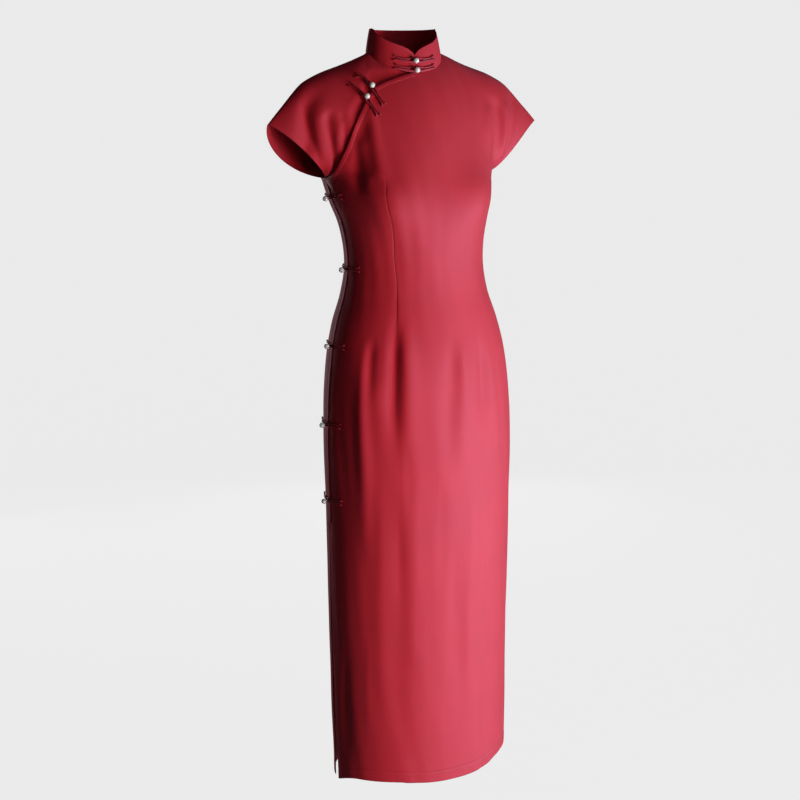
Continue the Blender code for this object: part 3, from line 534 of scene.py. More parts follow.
# --------------------------------------------------------------------------- finishes
class Tree:
    """Shorthand for adding nodes to a material or a node group."""

    def __init__(self, tree: NodeTree) -> None:
        """Keep the tree.

        Args:
            tree: The node tree to add to.
        """
        self.tree = tree

    def add(self, kind: str, inputs: dict | None = None, **settings: object) -> bpy.types.Node:
        """Add a node.

        Args:
            kind: Blender's name of the node type, without its ShaderNode part.
            inputs: Values or output sockets by input name or number.
            settings: Properties of the node.

        Returns:
            The new node.
        """
        node = self.tree.nodes.new("ShaderNode" + kind)
        for name, value in settings.items():
            setattr(node, name, value)
        return self.feed(node, inputs or {})

    def place(self, group: NodeTree, **inputs: object) -> bpy.types.Node:
        """Place a shared group.

        Args:
            group: The node group.
            inputs: Values or output sockets by input name.

        Returns:
            The group's node.
        """
        node = self.tree.nodes.new("ShaderNodeGroup")
        node.node_tree = group
        return self.feed(node, inputs)

    def feed(self, node: bpy.types.Node, inputs: dict) -> bpy.types.Node:
        """Set or link the inputs of a node.

        Args:
            node: The node.
            inputs: Values or output sockets by input name or number.

        Returns:
            The same node.
        """
        for name, value in inputs.items():
            if isinstance(value, Socket):
                self.tree.links.new(value, node.inputs[name])
            else:
                node.inputs[name].default_value = value
        return node

    def ramp(self, factor: Socket, low: float, high: float) -> Socket:
        """Return factor remapped from low..high to 0..1, clamped."""
        node = self.add("MapRange", {"Value": factor, "From Min": low, "From Max": high})
        return node.outputs["Result"]

    def spread(self, factor: Socket, low: float, high: float) -> Socket:
        """Return factor remapped from 0..1 to low..high, clamped."""
        node = self.add("MapRange", {"Value": factor, "To Min": low, "To Max": high})
        return node.outputs["Result"]

    def times(self, first: Socket, second: Socket | float) -> Socket:
        """Return the product of two values."""
        return self.add("Math", {0: first, 1: second}, operation="MULTIPLY").outputs[0]

    def scaled_onto(self, first: Socket, share: Socket | float, second: Socket | float) -> Socket:
        """Return first times share, plus second."""
        inputs = {0: first, 1: share, 2: second}
        return self.add("Math", inputs, operation="MULTIPLY_ADD").outputs[0]

    def blend(self, share: Socket, first: Colour | Socket, second: Colour) -> Socket:
        """Return the first colour changed into the second by a share."""
        ends = {6: first if isinstance(first, Socket) else (*first, 1), 7: (*second, 1)}
        return self.add("Mix", {0: share, **ends}, data_type="RGBA").outputs[2]

    def relief(self, height: Socket, strength: float, depth: float) -> Socket:
        """Return the surface normal under a fine relief."""
        inputs = {"Height": height, "Strength": strength, "Distance": depth}
        return self.add("Bump", inputs).outputs[0]


def new_group(name: str, takes: Sequence[tuple[str, str, float]], gives: Sequence[str]) -> NodeTree:
    """Make an empty shader node group with named sockets.

    Args:
        name: Name of the group.
        takes: Name, socket type and default of each input; a vector has no default.
        gives: Names of the outputs, all plain values.

    Returns:
        The group, with its Group Input and Group Output nodes in place.
    """
    group = bpy.data.node_groups.new(name, "ShaderNodeTree")
    for label, kind, default in takes:
        socket = group.interface.new_socket(label, in_out="INPUT", socket_type=kind)
        if kind == "NodeSocketFloat":
            socket.default_value = default
    for label in gives:
        group.interface.new_socket(label, in_out="OUTPUT", socket_type="NodeSocketFloat")
    group.nodes.new("NodeGroupInput")
    group.nodes.new("NodeGroupOutput")
    return group


class SharedEffects:
    """The node groups that several finishes place with their own values."""

    def __init__(self) -> None:
        """Build each group once."""
        self.crepe = self._crepe()
        self.drift = self._drift()
        self.pressed = self._pressed()

    def _crepe(self) -> NodeTree:
        """Build the grain of crepe: uneven twisted threads with a pebbled crinkle.

        Returns:
            The group, with the relief of the cloth and the fleck of its threads.
        """
        group = new_group("crepe_grain", (("Lay", "NodeSocketVector", 0.0),
                                          ("Thread", "NodeSocketFloat", 2200.0),
                                          ("Crinkle", "NodeSocketFloat", 900.0)),
                          ("Height", "Fleck"))
        t = Tree(group)
        lay, out = group.nodes["Group Input"].outputs, group.nodes["Group Output"].inputs
        waver = t.add("TexNoise", {"Vector": lay["Lay"], "Scale": 160.0, "Detail": 2.0})
        shifted = t.add("VectorMath", {0: waver.outputs["Color"], 1: (0.5, 0.5, 0.5)},
                        operation="SUBTRACT")
        small = t.add("VectorMath", {0: shifted.outputs[0], "Scale": 0.0009}, operation="SCALE")
        moved = t.add("VectorMath", {0: lay["Lay"], 1: small.outputs[0]}, operation="ADD")
        parts = t.add("SeparateXYZ", {0: moved.outputs[0]})
        waves = []
        for axis in ("X", "Y"):
            radians = t.times(t.times(parts.outputs[axis], lay["Thread"]), 2 * math.pi)
            waves.append(t.add("Math", {0: radians}, operation="SINE").outputs[0])
        pebble = t.add("TexVoronoi", {"Vector": moved.outputs[0], "Scale": lay["Crinkle"]},
                       feature="SMOOTH_F1")
        slub = t.add("TexNoise", {"Vector": moved.outputs[0], "Scale": lay["Crinkle"],
                                  "Detail": 3.0, "Roughness": 0.6})
        height = t.scaled_onto(t.times(*waves), 0.18, 0.5)
        height = t.scaled_onto(pebble.outputs["Distance"], 0.35, height)
        height = t.scaled_onto(slub.outputs["Fac"], 0.45, height)
        group.links.new(height, out["Height"])
        group.links.new(t.ramp(slub.outputs["Fac"], 0.35, 0.70), out["Fleck"])
        return group

    def _drift(self) -> NodeTree:
        """Build slow changes over a piece: dye lot, handling and the run of the warp.

        Returns:
            The group, with soft patches and with streaks along the warp.
        """
        group = new_group("colour_drift", (("Lay", "NodeSocketVector", 0.0),
                                           ("Patch", "NodeSocketFloat", 9.0)),
                          ("Patch", "Streak"))
        t = Tree(group)
        lay, out = group.nodes["Group Input"].outputs, group.nodes["Group Output"].inputs
        patch = t.add("TexNoise", {"Vector": lay["Lay"], "Scale": lay["Patch"], "Detail": 3.0})
        drawn = t.add("Mapping", {"Vector": lay["Lay"], "Scale": (260.0, 7.0, 1.0)})
        streak = t.add("TexNoise", {"Vector": drawn.outputs[0], "Scale": 1.0, "Detail": 2.0})
        group.links.new(t.ramp(patch.outputs["Fac"], 0.30, 0.70), out["Patch"])
        group.links.new(t.ramp(streak.outputs["Fac"], 0.30, 0.70), out["Streak"])
        return group

    def _pressed(self) -> NodeTree:
        """Build the mask that darkens edges and seams, broken up by grain: wear where an edge was
        pressed and rubbed, painted shade along seams, darts and stitch lines.

        Returns:
            The group, with the mask.
        """
        group = new_group("edge_wear_and_seam_shade", (("Lay", "NodeSocketVector", 0.0),
                                           ("Edge", "NodeSocketFloat", 0.0),
                                           ("Spread", "NodeSocketFloat", 0.35)), ("Mask",))
        t = Tree(group)
        lay, out = group.nodes["Group Input"].outputs, group.nodes["Group Output"].inputs
        worn = t.add("TexNoise", {"Vector": lay["Lay"], "Scale": 120.0, "Detail": 4.0})
        lifted = t.scaled_onto(worn.outputs["Fac"], lay["Spread"], lay["Edge"])
        group.links.new(t.ramp(lifted, 0.45, 1.25), out["Mask"])
        return group


def blank_material(name: str) -> tuple[Material, Tree, bpy.types.Node]:
    """Make a node material.

    Args:
        name: Its name.

    Returns:
        The material, its tree and its Principled BSDF.
    """
    made = bpy.data.materials.new(name)
    made.use_nodes = True
    return made, Tree(made.node_tree), made.node_tree.nodes["Principled BSDF"]


@dataclass(frozen=True)
class CrepeFinish:
    """Red crepe: a matte pebbled ground with a soft satin bloom."""

    name: str
    deep: Colour               # darkest threads
    bright: Colour             # palest threads
    roughness: float
    thread: float              # threads a metre
    crinkle: float             # pebbles a metre
    bump: float
    sheen: float
    relief: float = 0.0003     # depth of the grain
    worn: float = 0.62         # a rubbed edge, with painted shade along seams and stitch lines, as a share of the darkest threads
    specular: float = 0.65
    specular_tint: Colour = (0.50, 0.66, 1.0)
    sheen_roughness: float = 0.55
    sheen_tint: Colour = (1.0, 0.62, 0.95)

    def build(self, effects: SharedEffects) -> Material:
        """Build the material.

        Args:
            effects: The shared node groups.

        Returns:
            The material.
        """
        made, t, shader = blank_material(self.name)
        lay = t.add("Attribute", attribute_name="lay").outputs["Vector"]
        edge = t.add("Attribute", attribute_name="edge").outputs["Fac"]
        grain = t.place(effects.crepe, Lay=lay, Thread=self.thread, Crinkle=self.crinkle)
        drift = t.place(effects.drift, Lay=lay, Patch=9.0)
        # The edge mask darkens the colour: wear at folded edges, painted shade along seams, darts,
        # stitch lines and the collar's foot.
        rub_and_seam_shade = t.place(effects.pressed, Lay=lay, Edge=edge, Spread=0.35)
        tone = t.times(drift.outputs["Patch"], 0.55)
        tone = t.scaled_onto(drift.outputs["Streak"], 0.20, tone)
        tone = t.scaled_onto(grain.outputs["Fleck"], 0.25, tone)
        ground = t.blend(tone, self.deep, self.bright)
        worn_and_shaded = tuple(c * self.worn for c in self.deep)
        rough = t.add("MapRange", {"Value": grain.outputs["Height"], "From Min": 0.4,
                                   "From Max": 1.1, "To Min": self.roughness - 0.05,
                                   "To Max": self.roughness + 0.07})
        t.feed(shader, {"Base Color": t.blend(rub_and_seam_shade.outputs["Mask"], ground, worn_and_shaded),
                        "Roughness": rough.outputs["Result"],
                        "Normal": t.relief(grain.outputs["Height"], self.bump, self.relief),
                        "Specular IOR Level": self.specular,
                        "Specular Tint": (*self.specular_tint, 1.0),
                        "Sheen Weight": self.sheen,
                        "Sheen Roughness": self.sheen_roughness,
                        "Sheen Tint": (*self.sheen_tint, 1.0)})
        return made


@dataclass(frozen=True)
class PearlFinish:
    """Imitation pearl: a warm off-white ground under a clear, slightly uneven coat."""

    name: str = "pearl_lustre"
    ground: Colour = (0.93, 0.93, 0.90)
    shade: Colour = (0.80, 0.80, 0.76)
    smooth: float = 0.16       # roughness of the clearest places
    dull: float = 0.34         # and of the dullest
    coat: float = 0.6
    coat_roughness: float = 0.08
    specular: float = 0.6

    def build(self) -> Material:
        """Build the material.

        Returns:
            The material.
        """
        made, t, shader = blank_material(self.name)
        place = t.add("TexCoord").outputs["Object"]
        cloud = t.add("TexNoise", {"Vector": place, "Scale": 260.0, "Detail": 3.0})
        skin = t.add("TexNoise", {"Vector": place, "Scale": 2400.0, "Detail": 2.0})
        clouded = cloud.outputs["Fac"]
        mixed = t.scaled_onto(clouded, 0.50, 0.10)
        t.feed(shader, {"Base Color": t.blend(mixed, self.ground, self.shade),
                        "Roughness": t.spread(clouded, self.smooth, self.dull),
                        "Normal": t.relief(skin.outputs["Fac"], 0.12, 0.00008),
                        "Coat Weight": self.coat,
                        "Coat Roughness": self.coat_roughness,
                        "Specular IOR Level": self.specular})
        return made


@dataclass(frozen=True)
class StudioFinish:
    """Matte floor. Seen directly it is evenly pale, and it throws little light back."""

    name: str = "studio_paper"
    seen: float = 0.03         # light that it gives back where it is seen directly
    bounce: float = 0.22       # light that it throws back on the dress
    glow: float = 0.82         # its own paleness where it is seen directly
    roughness: float = 0.9

    def build(self) -> Material:
        """Build the material.

        Returns:
            The material.
        """
        made, t, shader = blank_material(self.name)
        place = t.add("TexCoord").outputs["Object"]
        tooth = t.add("TexNoise", {"Vector": place, "Scale": 900.0, "Detail": 3.0})
        path = t.add("LightPath").outputs["Is Camera Ray"]
        shade = t.spread(path, self.bounce, self.seen)
        colour = t.add("CombineColor", {0: shade, 1: shade, 2: shade})
        t.feed(shader, {"Base Color": colour.outputs[0],
                        "Normal": t.relief(tooth.outputs["Fac"], 0.05, 0.0002),
                        "Emission Strength": path,
                        "Emission Color": (self.glow, self.glow, self.glow, 1.0),
                        "Roughness": self.roughness,
                        "Specular IOR Level": 0.0})
        return made


# ----------------------------------------------------------------------- making meshes
def add_piece(name: str, verts: Array, faces: Faces, lay: Array | None = None,
              edge: Array | None = None) -> Object:
    """Make a smooth-shaded mesh object.

    Args:
        name: Name of the piece.
        verts: Its points.
        faces: Its faces, as indices of points.
        lay: Places on the flat cloth, in metres, one for each point.
        edge: How near each point is to an edge or seam, 0 to 1; it darkens the colour there, as
            wear at an edge and painted shade along a seam.

    Returns:
        The object, linked to the scene.
    """
    mesh = bpy.data.meshes.new(name)
    mesh.from_pydata(verts.tolist(), [], faces)
    mesh.shade_smooth()
    if lay is not None:
        held = mesh.attributes.new("lay", "FLOAT_VECTOR", "POINT")
        flat = np.zeros((len(verts), 3), np.float32)
        flat[:, :2] = lay
        held.data.foreach_set("vector", flat.ravel())
    if edge is not None:
        held = mesh.attributes.new("edge", "FLOAT", "POINT")
        held.data.foreach_set("value", np.asarray(edge, np.float32).ravel())
    made = bpy.data.objects.new(name, mesh)
    bpy.context.scene.collection.objects.link(made)
    return made


def border_distance(base: Array) -> tuple[Array, Array, Array, Array]:
    """Measure each point's distance over the cloth from the four borders of its net.

    Args:
        base: Points in rows and columns.

    Returns:
        Distances from the first column, the last column, the first row and the last row.
    """
    along = np.linalg.norm(np.diff(base, axis=1), axis=-1)
    down = np.linalg.norm(np.diff(base, axis=0), axis=-1)
    left = np.concatenate((np.zeros((len(base), 1)), np.cumsum(along, axis=1)), axis=1)
    top = np.concatenate((np.zeros((1, base.shape[1])), np.cumsum(down, axis=0)), axis=0)
    return left, left[:, -1:] - left, top, top[-1:] - top


def sew_net(name: str, base: Array, out: Array, top: Array, wall: Array, lay: Array,
            edge: Array) -> Object:
    """Make a closed cloth wall over a net, with its borders rounded as a fold is.

    Args:
        name: Name of the piece.
        base: Points of the form in rows and columns.
        out: Outward normals there.
        top: Height of the cloth's outer face over the points.
        wall: Thickness of the cloth.
        lay: Places on the flat cloth.
        edge: Nearness to an edge or seam, which darkens the colour: wear at an edge, painted shade
            along a seam.

    Returns:
        The piece.
    """
    rows, cols = top.shape
    near = np.minimum.reduce(border_distance(base))
    bulge = np.clip(near / (wall * BORDER_ROUND), 0.0, 1.0)
    half = wall / 2 * np.sqrt(np.clip(1.0 - (1.0 - bulge) ** 2, 0.0, 1.0))
    middle = top - wall / 2
    outer = base + out * (middle + half)[..., None]
    inner = base + out * (middle - half)[..., None]
    index = np.arange(rows * cols).reshape(rows, cols)
    under = index + rows * cols
    under[0], under[-1], under[:, 0], under[:, -1] = index[0], index[-1], index[:, 0], index[:, -1]
    a, b, c, d = index[:-1, :-1], index[1:, :-1], index[1:, 1:], index[:-1, 1:]
    quads = np.stack((a, b, c, d), axis=-1).reshape(-1, 4)
    quads_in = np.stack((under[:-1, 1:], under[1:, 1:], under[1:, :-1], under[:-1, :-1]),
                        axis=-1).reshape(-1, 4)
    r, k = rows // 2, cols // 2
    facing = np.cross(outer[r + 1, k] - outer[r, k], outer[r, k + 1] - outer[r, k])
    if np.dot(facing, out[r, k]) < 0:
        quads, quads_in = quads[:, ::-1], quads_in[:, ::-1]
    inside = np.ones((rows, cols), bool)
    inside[0] = inside[-1] = inside[:, 0] = inside[:, -1] = False
    verts = np.concatenate((outer.reshape(-1, 3), inner[inside]))
    renumber = np.arange(2 * rows * cols)
    renumber[rows * cols:][inside.ravel()] = rows * cols + np.arange(int(inside.sum()))
    faces = [tuple(f) for f in renumber[np.concatenate((quads, quads_in))].tolist()]
    flat = lay.reshape(-1, 2)
    return add_piece(name, verts, faces, np.concatenate((flat, flat[inside.ravel()])),
                     np.concatenate((edge.ravel(), edge[inside])))


def spline(points: Array, step: float) -> Array:
    """Draw a smooth curve through points and space it evenly.

    Args:
        points: Points of the path.
        step: Distance between the points returned.

    Returns:
        Evenly spaced points of the curve.
    """
    held = np.concatenate((2 * points[:1] - points[1:2], points, 2 * points[-1:] - points[-2:-1]))
    fine = []
    for i in range(1, len(held) - 2):
        p0, p1, p2, p3 = held[i - 1:i + 3]
        s = np.linspace(0.0, 1.0, 14, endpoint=False)[:, None]
        fine.append(0.5 * (2 * p1 + (p2 - p0) * s + (2 * p0 - 5 * p1 + 4 * p2 - p3) * s ** 2
                           + (3 * p1 - p0 - 3 * p2 + p3) * s ** 3))
    fine = np.concatenate(fine + [points[-1:]])
    run = np.concatenate(([0.0], np.cumsum(np.linalg.norm(np.diff(fine, axis=0), axis=1))))
    count = max(4, int(round(run[-1] / step)) + 1)
    even = np.linspace(0.0, run[-1], count)
    return np.stack([np.interp(even, run, fine[:, k]) for k in range(3)], axis=1)


@dataclass(frozen=True)
class Tube:
    """A swept cord with rounded ends and the faint turns of the bias strip round it."""

    radius: float
    sides: int = 12
    turn: float = 0.0052       # one turn of the strip, along the cord
    ridge: float = 0.02        # how far the strip's edge stands up, share of the radius
    slant: float = 0.7         # run of the bias threads along the cord

    def sweep(self, path: Array) -> tuple[Array, Faces, Array]:
        """Sweep the cord along a path.

        Args:
            path: Evenly spaced centre points.

        Returns:
            The cord's points, its faces and its places on the flat cloth.
        """
        run = np.concatenate(([0.0], np.cumsum(np.linalg.norm(np.diff(path, axis=0), axis=1))))
        ahead = np.gradient(path, axis=0)
        ahead /= np.linalg.norm(ahead, axis=1, keepdims=True)
        across = np.cross(ahead[0], (0.31, 0.17, 0.93))
        rings, lay = [], []
        angles = np.linspace(0.0, 2 * math.pi, self.sides, endpoint=False)
        for i, (p, d) in enumerate(zip(path, ahead)):
            across = across - d * np.dot(across, d)
            across /= np.linalg.norm(across)
            third = np.cross(d, across)
            end = min(run[i], run[-1] - run[i]) / self.radius
            round_off = math.sqrt(max(0.04, 1.0 - max(0.0, 1.0 - end) ** 2))
            strip = np.cos(angles - 2 * math.pi * run[i] / self.turn)
            size = self.radius * round_off * (1.0 - self.ridge + self.ridge * strip)
            rings.append(p + size[:, None] * (np.cos(angles)[:, None] * across
                                              + np.sin(angles)[:, None] * third))
            lay.append(np.stack((angles * self.radius + run[i] * self.slant,
                                 run[i] * self.slant - angles * self.radius), axis=1))
        verts = np.concatenate(rings + [path[:1], path[-1:]])
        places = np.concatenate(lay + [lay[0][:1], lay[-1][:1]])
        return verts, capped_rings(len(path), self.sides), places


def capped_rings(rows: int, n: int) -> Faces:
    """Join rings of points, and close both ends on the two points that come after them.

    Args:
        rows: Number of rings.
        n: Points in each ring.

    Returns:
        The faces: the wall ring by ring, then the first end and the last one.
    """
    last, tip = (rows - 1) * n, rows * n
    faces = [(r * n + i, r * n + (i + 1) % n, (r + 1) * n + (i + 1) % n, (r + 1) * n + i)
             for r in range(rows - 1) for i in range(n)]
    faces += [(tip, (i + 1) % n, i) for i in range(n)]
    return faces + [(tip + 1, last + i, last + (i + 1) % n) for i in range(n)]


def join_parts(parts: list[tuple[Array, Faces, Array]]) -> tuple[Array, Faces, Array]:
    """Join several meshes.

    Args:
        parts: Points, faces and cloth places of each.

    Returns:
        Points, faces and cloth places of the whole.
    """
    verts, faces, lay, count = [], [], [], 0
    for points, shapes, places in parts:
        verts.append(points)
        lay.append(places)
        faces += [tuple(i + count for i in shape) for shape in shapes]
        count += len(points)
    return np.concatenate(verts), faces, np.concatenate(lay)


class Skin:
    """The outer faces of finished pieces, so that others can be laid on them."""

    def __init__(self, pieces: Sequence[Object]) -> None:
        """Index the pieces.

        Args:
            pieces: What may be lain on.
        """
        graph = bpy.context.evaluated_depsgraph_get()
        self.trees = [BVHTree.FromObject(piece, graph) for piece in pieces]

    def above(self, point: Array, n: Array) -> float:
        """Measure how high the outermost face lies over a point.

        Args:
            point: A point near the cloth.
            n: The way up.

        Returns:
            The height, 0 where no face is near.
        """
        up, reach, depth = Vector(n), 0.010, 0.004
        start, best = Vector(point) + up * reach, 0.0
        for tree in self.trees:
            hit = tree.ray_cast(start, -up, reach + depth)[0]
            if hit is not None:
                best = max(best, (hit - Vector(point)).dot(up))
        return best


def settle(piece: Object, finish: Material, slot: str, *nodes: str) -> Object:
    """Dress a piece, hang it on the dress and let it stand for its solids.

    Args:
        piece: The piece.
        finish: Its material.
        slot: Not used.
        nodes: Solids that it replaces.

    Returns:
        The piece.
    """
    piece.data.materials.append(finish)
    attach(piece, "root")
    if nodes:
        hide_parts(*nodes)
    LOG.info("%s: %d faces", piece.name, len(piece.data.polygons))
    return piece


# --------------------------------------------------------------------------- the cloth
EDGE_STEPS = np.array([0.0006, 0.0020, 0.0045, 0.0090])       # shares of t by an edge
DART_STEPS = np.array([0.0, 0.0012, 0.0026, 0.0050, 0.0100])  # shares of t by a dart
TOP_ROWS = (-0.00006, -0.0006, -0.0014, -0.0024, -0.0040)     # heights of the first rows


def spread_columns(count: int, darts: Sequence[float]) -> Array:
    """Spread a panel's columns, closer by its edges and darts.

    Args:
        count: Columns before the close ones are added.
        darts: Shares of t at which darts run.

    Returns:
        The columns' shares of t.
    """
    close = [-1.0 + EDGE_STEPS, 1.0 - EDGE_STEPS]
    close += [dart + sign * DART_STEPS for dart in darts for sign in (-1.0, 1.0)]
    close = np.unique(np.concatenate(close))
    even = np.linspace(-1.0, 1.0, count)
    room = 0.004               # even columns nearer than this to a close one are left out
    keep = np.array([abs(even[i] - close).min() > room or i in (0, count - 1)
                     for i in range(count)])
    return np.unique(np.concatenate((even[keep], close)))


@dataclass(frozen=True)
class Dart:
    """A stitched waist dart: a fine groove with small puckers beside it."""

    line: tuple[tuple[float, float], ...]
    column: float              # share of t of the net's column that follows the line
    depth: float = 0.0005
    press: float = 1.0         # how hard the line is pressed, 0 to 1: the strength of the painted shade along it
    press_width: float = 0.0012
    groove: float = 0.0010
    upper_fade: float = 0.03   # length over which the dart starts at its upper end
    lower_fade: float = 0.05   # and dies away at its lower end
    pucker: float = 0.00016    # height of the puckers beside the line
    pucker_length: float = 0.0090
    pucker_reach: float = 0.006

    def at(self, h: Array) -> Array:
        """Return the share of t of the dart's line at a height."""
        return Curve(self.line)(h)[..., 0]

    def ends(self) -> tuple[float, float]:
        """Return the heights of the lower and the upper end."""
        heights = [row[0] for row in self.line]
        return min(heights), max(heights)

    def lift(self, t: Array, h: Array) -> Array:
        """Measure how far the dart moves the cloth outward.

        Args:
            t: Shares round the form.
            h: Heights.

        Returns:
            The move at each place.
        """
        low, high = self.ends()
        aside = np.abs(t - self.at(h)) * QUARTER
        inside = soft_step((high - h) / self.upper_fade) * soft_step((h - low) / self.lower_fade)
        pucker = self.pucker * np.sin(2 * math.pi * h / self.pucker_length) \
            * np.exp(-aside / self.pucker_reach)
        return inside * (pucker - self.depth * bell(aside, self.groove))

    def pressed(self, t: Array, h: Array) -> Array:
        """Return how hard the cloth is pressed by the dart, 0 to 1, which sets the painted shade
        along its line.
        """
        low, high = self.ends()
        on = (h < high) & (h > low)
        return self.press * on * np.exp(-np.abs(t - self.at(h)) * QUARTER / self.press_width)


@dataclass(frozen=True)
class Waviness:
    """The slow unevenness of worn cloth, as a few long waves."""

    seed: int
    size: float = 0.00022
    waves: int = 9
    swell: float = 0.33        # distance over which a wave grows and sinks

    def lift(self, t: Array, h: Array) -> Array:
        """Measure how far the waves move the cloth outward.

        Args:
            t: Shares round the form.
            h: Heights.

        Returns:
            The move at each place.
        """
        draw = np.random.default_rng(self.seed)
        total = np.zeros(np.shape(t))
        for _ in range(self.waves):
            wide, tall = draw.uniform(0.03, 0.12), draw.uniform(0.08, 0.45)
            phase, lean = draw.uniform(0, 2 * math.pi, 2)
            total += np.sin(2 * math.pi * (t * QUARTER / wide + h / tall) + phase) \
                * (0.6 + 0.4 * np.sin(2 * math.pi * h / self.swell + lean))
        return self.size * total / math.sqrt(self.waves) * 1.6


def sewn_shoulder(lift: Array, wall: Array, t: Array, below_top: Array) -> Array:
    """Draw a piece in at its shoulder seam, so that front and back lie edge to edge.

    Args:
        lift: Heights of the cloth's outer face over the form.
        wall: Thickness of the cloth.
        t: Shares round the form.
        below_top: Distances from the top edge of the piece.

    Returns:
        The heights, lowered near the seam.
    """
    beyond = soft_step((np.abs(t) - NECK_SHARE) / DRAW_SHARE)
    share = beyond * bell(below_top, DRAW_DEPTH)
    return lift - share * (lift - wall / 2 - SEAM_LIFT)


def creased(lift: Array, creases: Sequence[Sequence[float]], t: Array, h: Array) -> Array:
    """Add creases to a piece.

    Args:
        lift: Heights of the cloth's outer face over the form.
        creases: Rows of a table of folds.
        t: Shares round the form.
        h: Heights.

    Returns:
        The heights with the creases.
    """
    for row in creases:
        lift = lift + Fold(*row).lift(t, h)
    return lift


@dataclass
class Panel:
    """A large panel of the dress, cut from neckline to hem."""

    name: str
    node: str
    side: Side
    flat: tuple[float, float]
    area: float
    darts: tuple[Dart, ...]
    creases: tuple[tuple[float, ...], ...]
    waves: Waviness
    opens_right: bool = False
    columns: int = 116         # columns of the net, before those by edges and darts
    dart_pull: float = 0.09    # share of t over which the columns follow a dart
    seam_dip: float = 0.0007   # how deep a side seam is pressed in
    ripple: float = 0.00035    # height of the puckers along a side seam
    ripple_length: float = 0.047
    ripple_reach: float = 0.016
    turned_lift: float = 0.00022   # how far hem and facings stand out
    hem_dip: float = 0.00042       # depth of the hem's stitch line
    hem_dip_width: float = 0.0011
    hem_step: float = 0.0008       # distance over which the turned hem ends
    facing_dip: float = 0.00020    # depth of a facing's edge line
    line_width: float = 0.0012
    change: float = 0.01           # height over which a seam gives way to slit or sleeve

    def places(self, form: DressForm) -> tuple[Array, Array]:
        """Lay out the panel's net.

        Args:
            form: The form that it lies on.

        Returns:
            Its places, as t and h in rows and columns.
        """
        hip = -0.660           # below it the rows lie farther apart
        top = np.concatenate((TOP_ROWS, np.arange(-0.0070, UNDERARM, -0.0036),
                              np.arange(UNDERARM, hip, -0.0040),
                              np.arange(hip, SLIT_TOP, -0.0062)))
        drop = SLIT_TOP - HEMS[3][1]   # from the slits' top to the hem at centre front
        line = HEM_TURN + np.array([0.0035, 0.0018, 0.0008, 0.0, -0.0008, -0.0018, -0.0035])
        ends = np.array([0.012, 0.0085, 0.0055, 0.0030, 0.0016, 0.0007, 0.0002, 0.0])
        shares = np.concatenate((np.arange(0.0, 1 - 0.028 / drop, 0.0072 / drop),
                                 1 - line / drop, 1 - ends / drop))
        c = spread_columns(self.columns, [dart.column for dart in self.darts])
        upper = np.repeat(top[:, None], len(c), axis=1)
        lower = SLIT_TOP + (form.hem(self.side, c)[None] - SLIT_TOP) * shares[:, None]
        h = np.concatenate((upper, lower))
        reach = form.reach(self.side, h)
        t = c[None] * reach
        on = soft_step((UNDERARM - h) / 0.03)
        for dart in self.darts:
            weight = soft_step(1.0 - np.abs(c - dart.column) / self.dart_pull)[None]
            t = t + weight * on * (dart.at(h) - dart.column * reach)
        if self.opens_right:
            left = np.maximum(form.overlap_at(h), -reach)
            share = (c[None] + 1.0) / (1.0 + NECK_SHARE)
            squeezed = left + (NECK_SHARE * reach - left) * share
            t = np.where((h > UNDERARM) & (c[None] < NECK_SHARE), squeezed, t)
        return t, h

    def detail(self, t: Array, h: Array, base: Array) -> tuple[Array, Array, Array]:
        """Work out the thickness of the cloth and what seams, hem and darts do to it.

        Args:
            t: Shares round the form.
            h: Heights.
            base: Points of the net.

        Returns:
            The lift, the wall and the edge mask of the cloth, which darkens worn edges and paints
            shade along seams, darts and the hem's stitch line.
        """
        first, last, below_top, above_hem = border_distance(base)
        beside = np.minimum(first, last)
        lift = np.full(t.shape, CLOTH_TOP) + self.waves.lift(t, h)
        lift = creased(lift, self.creases, t, h)
        for dart in self.darts:
            lift = lift + dart.lift(t, h)
        slit = soft_step((SLIT_TOP - h) / self.change)
        sleeve = soft_step((h - UNDERARM) / self.change)
        seam = (1.0 - slit) * (1.0 - sleeve)
        lift -= seam * self.seam_dip * bell(beside, RUBBED)
        ripple = np.sin(2 * math.pi * h / self.ripple_length + 2.1 * np.sin(h * 31.0))
        lift += seam * self.ripple * ripple * bell(beside, self.ripple_reach)
        turned = soft_step((HEM_TURN + self.hem_step / 2 - above_hem) / self.hem_step)
        faced = slit * soft_step((FACING_WIDTH - beside) / TURN_STEP)
        cuffed = sleeve * soft_step((CUFF_WIDTH - beside) / TURN_STEP)
        lift += self.turned_lift * np.maximum(turned, faced)
        lift -= self.hem_dip * bell(above_hem - HEM_TURN, self.hem_dip_width)
        lift -= self.facing_dip * slit * bell(beside - FACING_WIDTH, self.line_width)
        wall = WALL + TURNED * np.maximum.reduce((turned, faced, cuffed))
        lift = sewn_shoulder(lift, wall, t, below_top)
        # Edge mask: wear at the folded edges, painted shade along the side seams, the hem's stitch
        # line and the darts.
        edge = np.maximum(np.exp(-np.minimum(beside, above_hem) / RUBBED),
                          0.6 * bell(above_hem - HEM_TURN, self.line_width))
        for dart in self.darts:
            edge = np.maximum(edge, dart.pressed(t, h))
        return lift, wall, edge

    def build(self, form: DressForm, finish: Material) -> Object:
        """Build and dress the panel.

        Args:
            form: The form that it lies on.
            finish: Its material.

        Returns:
            The piece.
        """
        t, h = self.places(form)
        base, out = form.cloth(self.side, t, h)
        lift, wall, edge = self.detail(t, h, base)
        piece = sew_net(self.name, base, out, lift, wall,
                        np.stack((t * QUARTER, h), axis=-1), edge)
        settle(piece, finish, "cloth", self.node)
        return piece


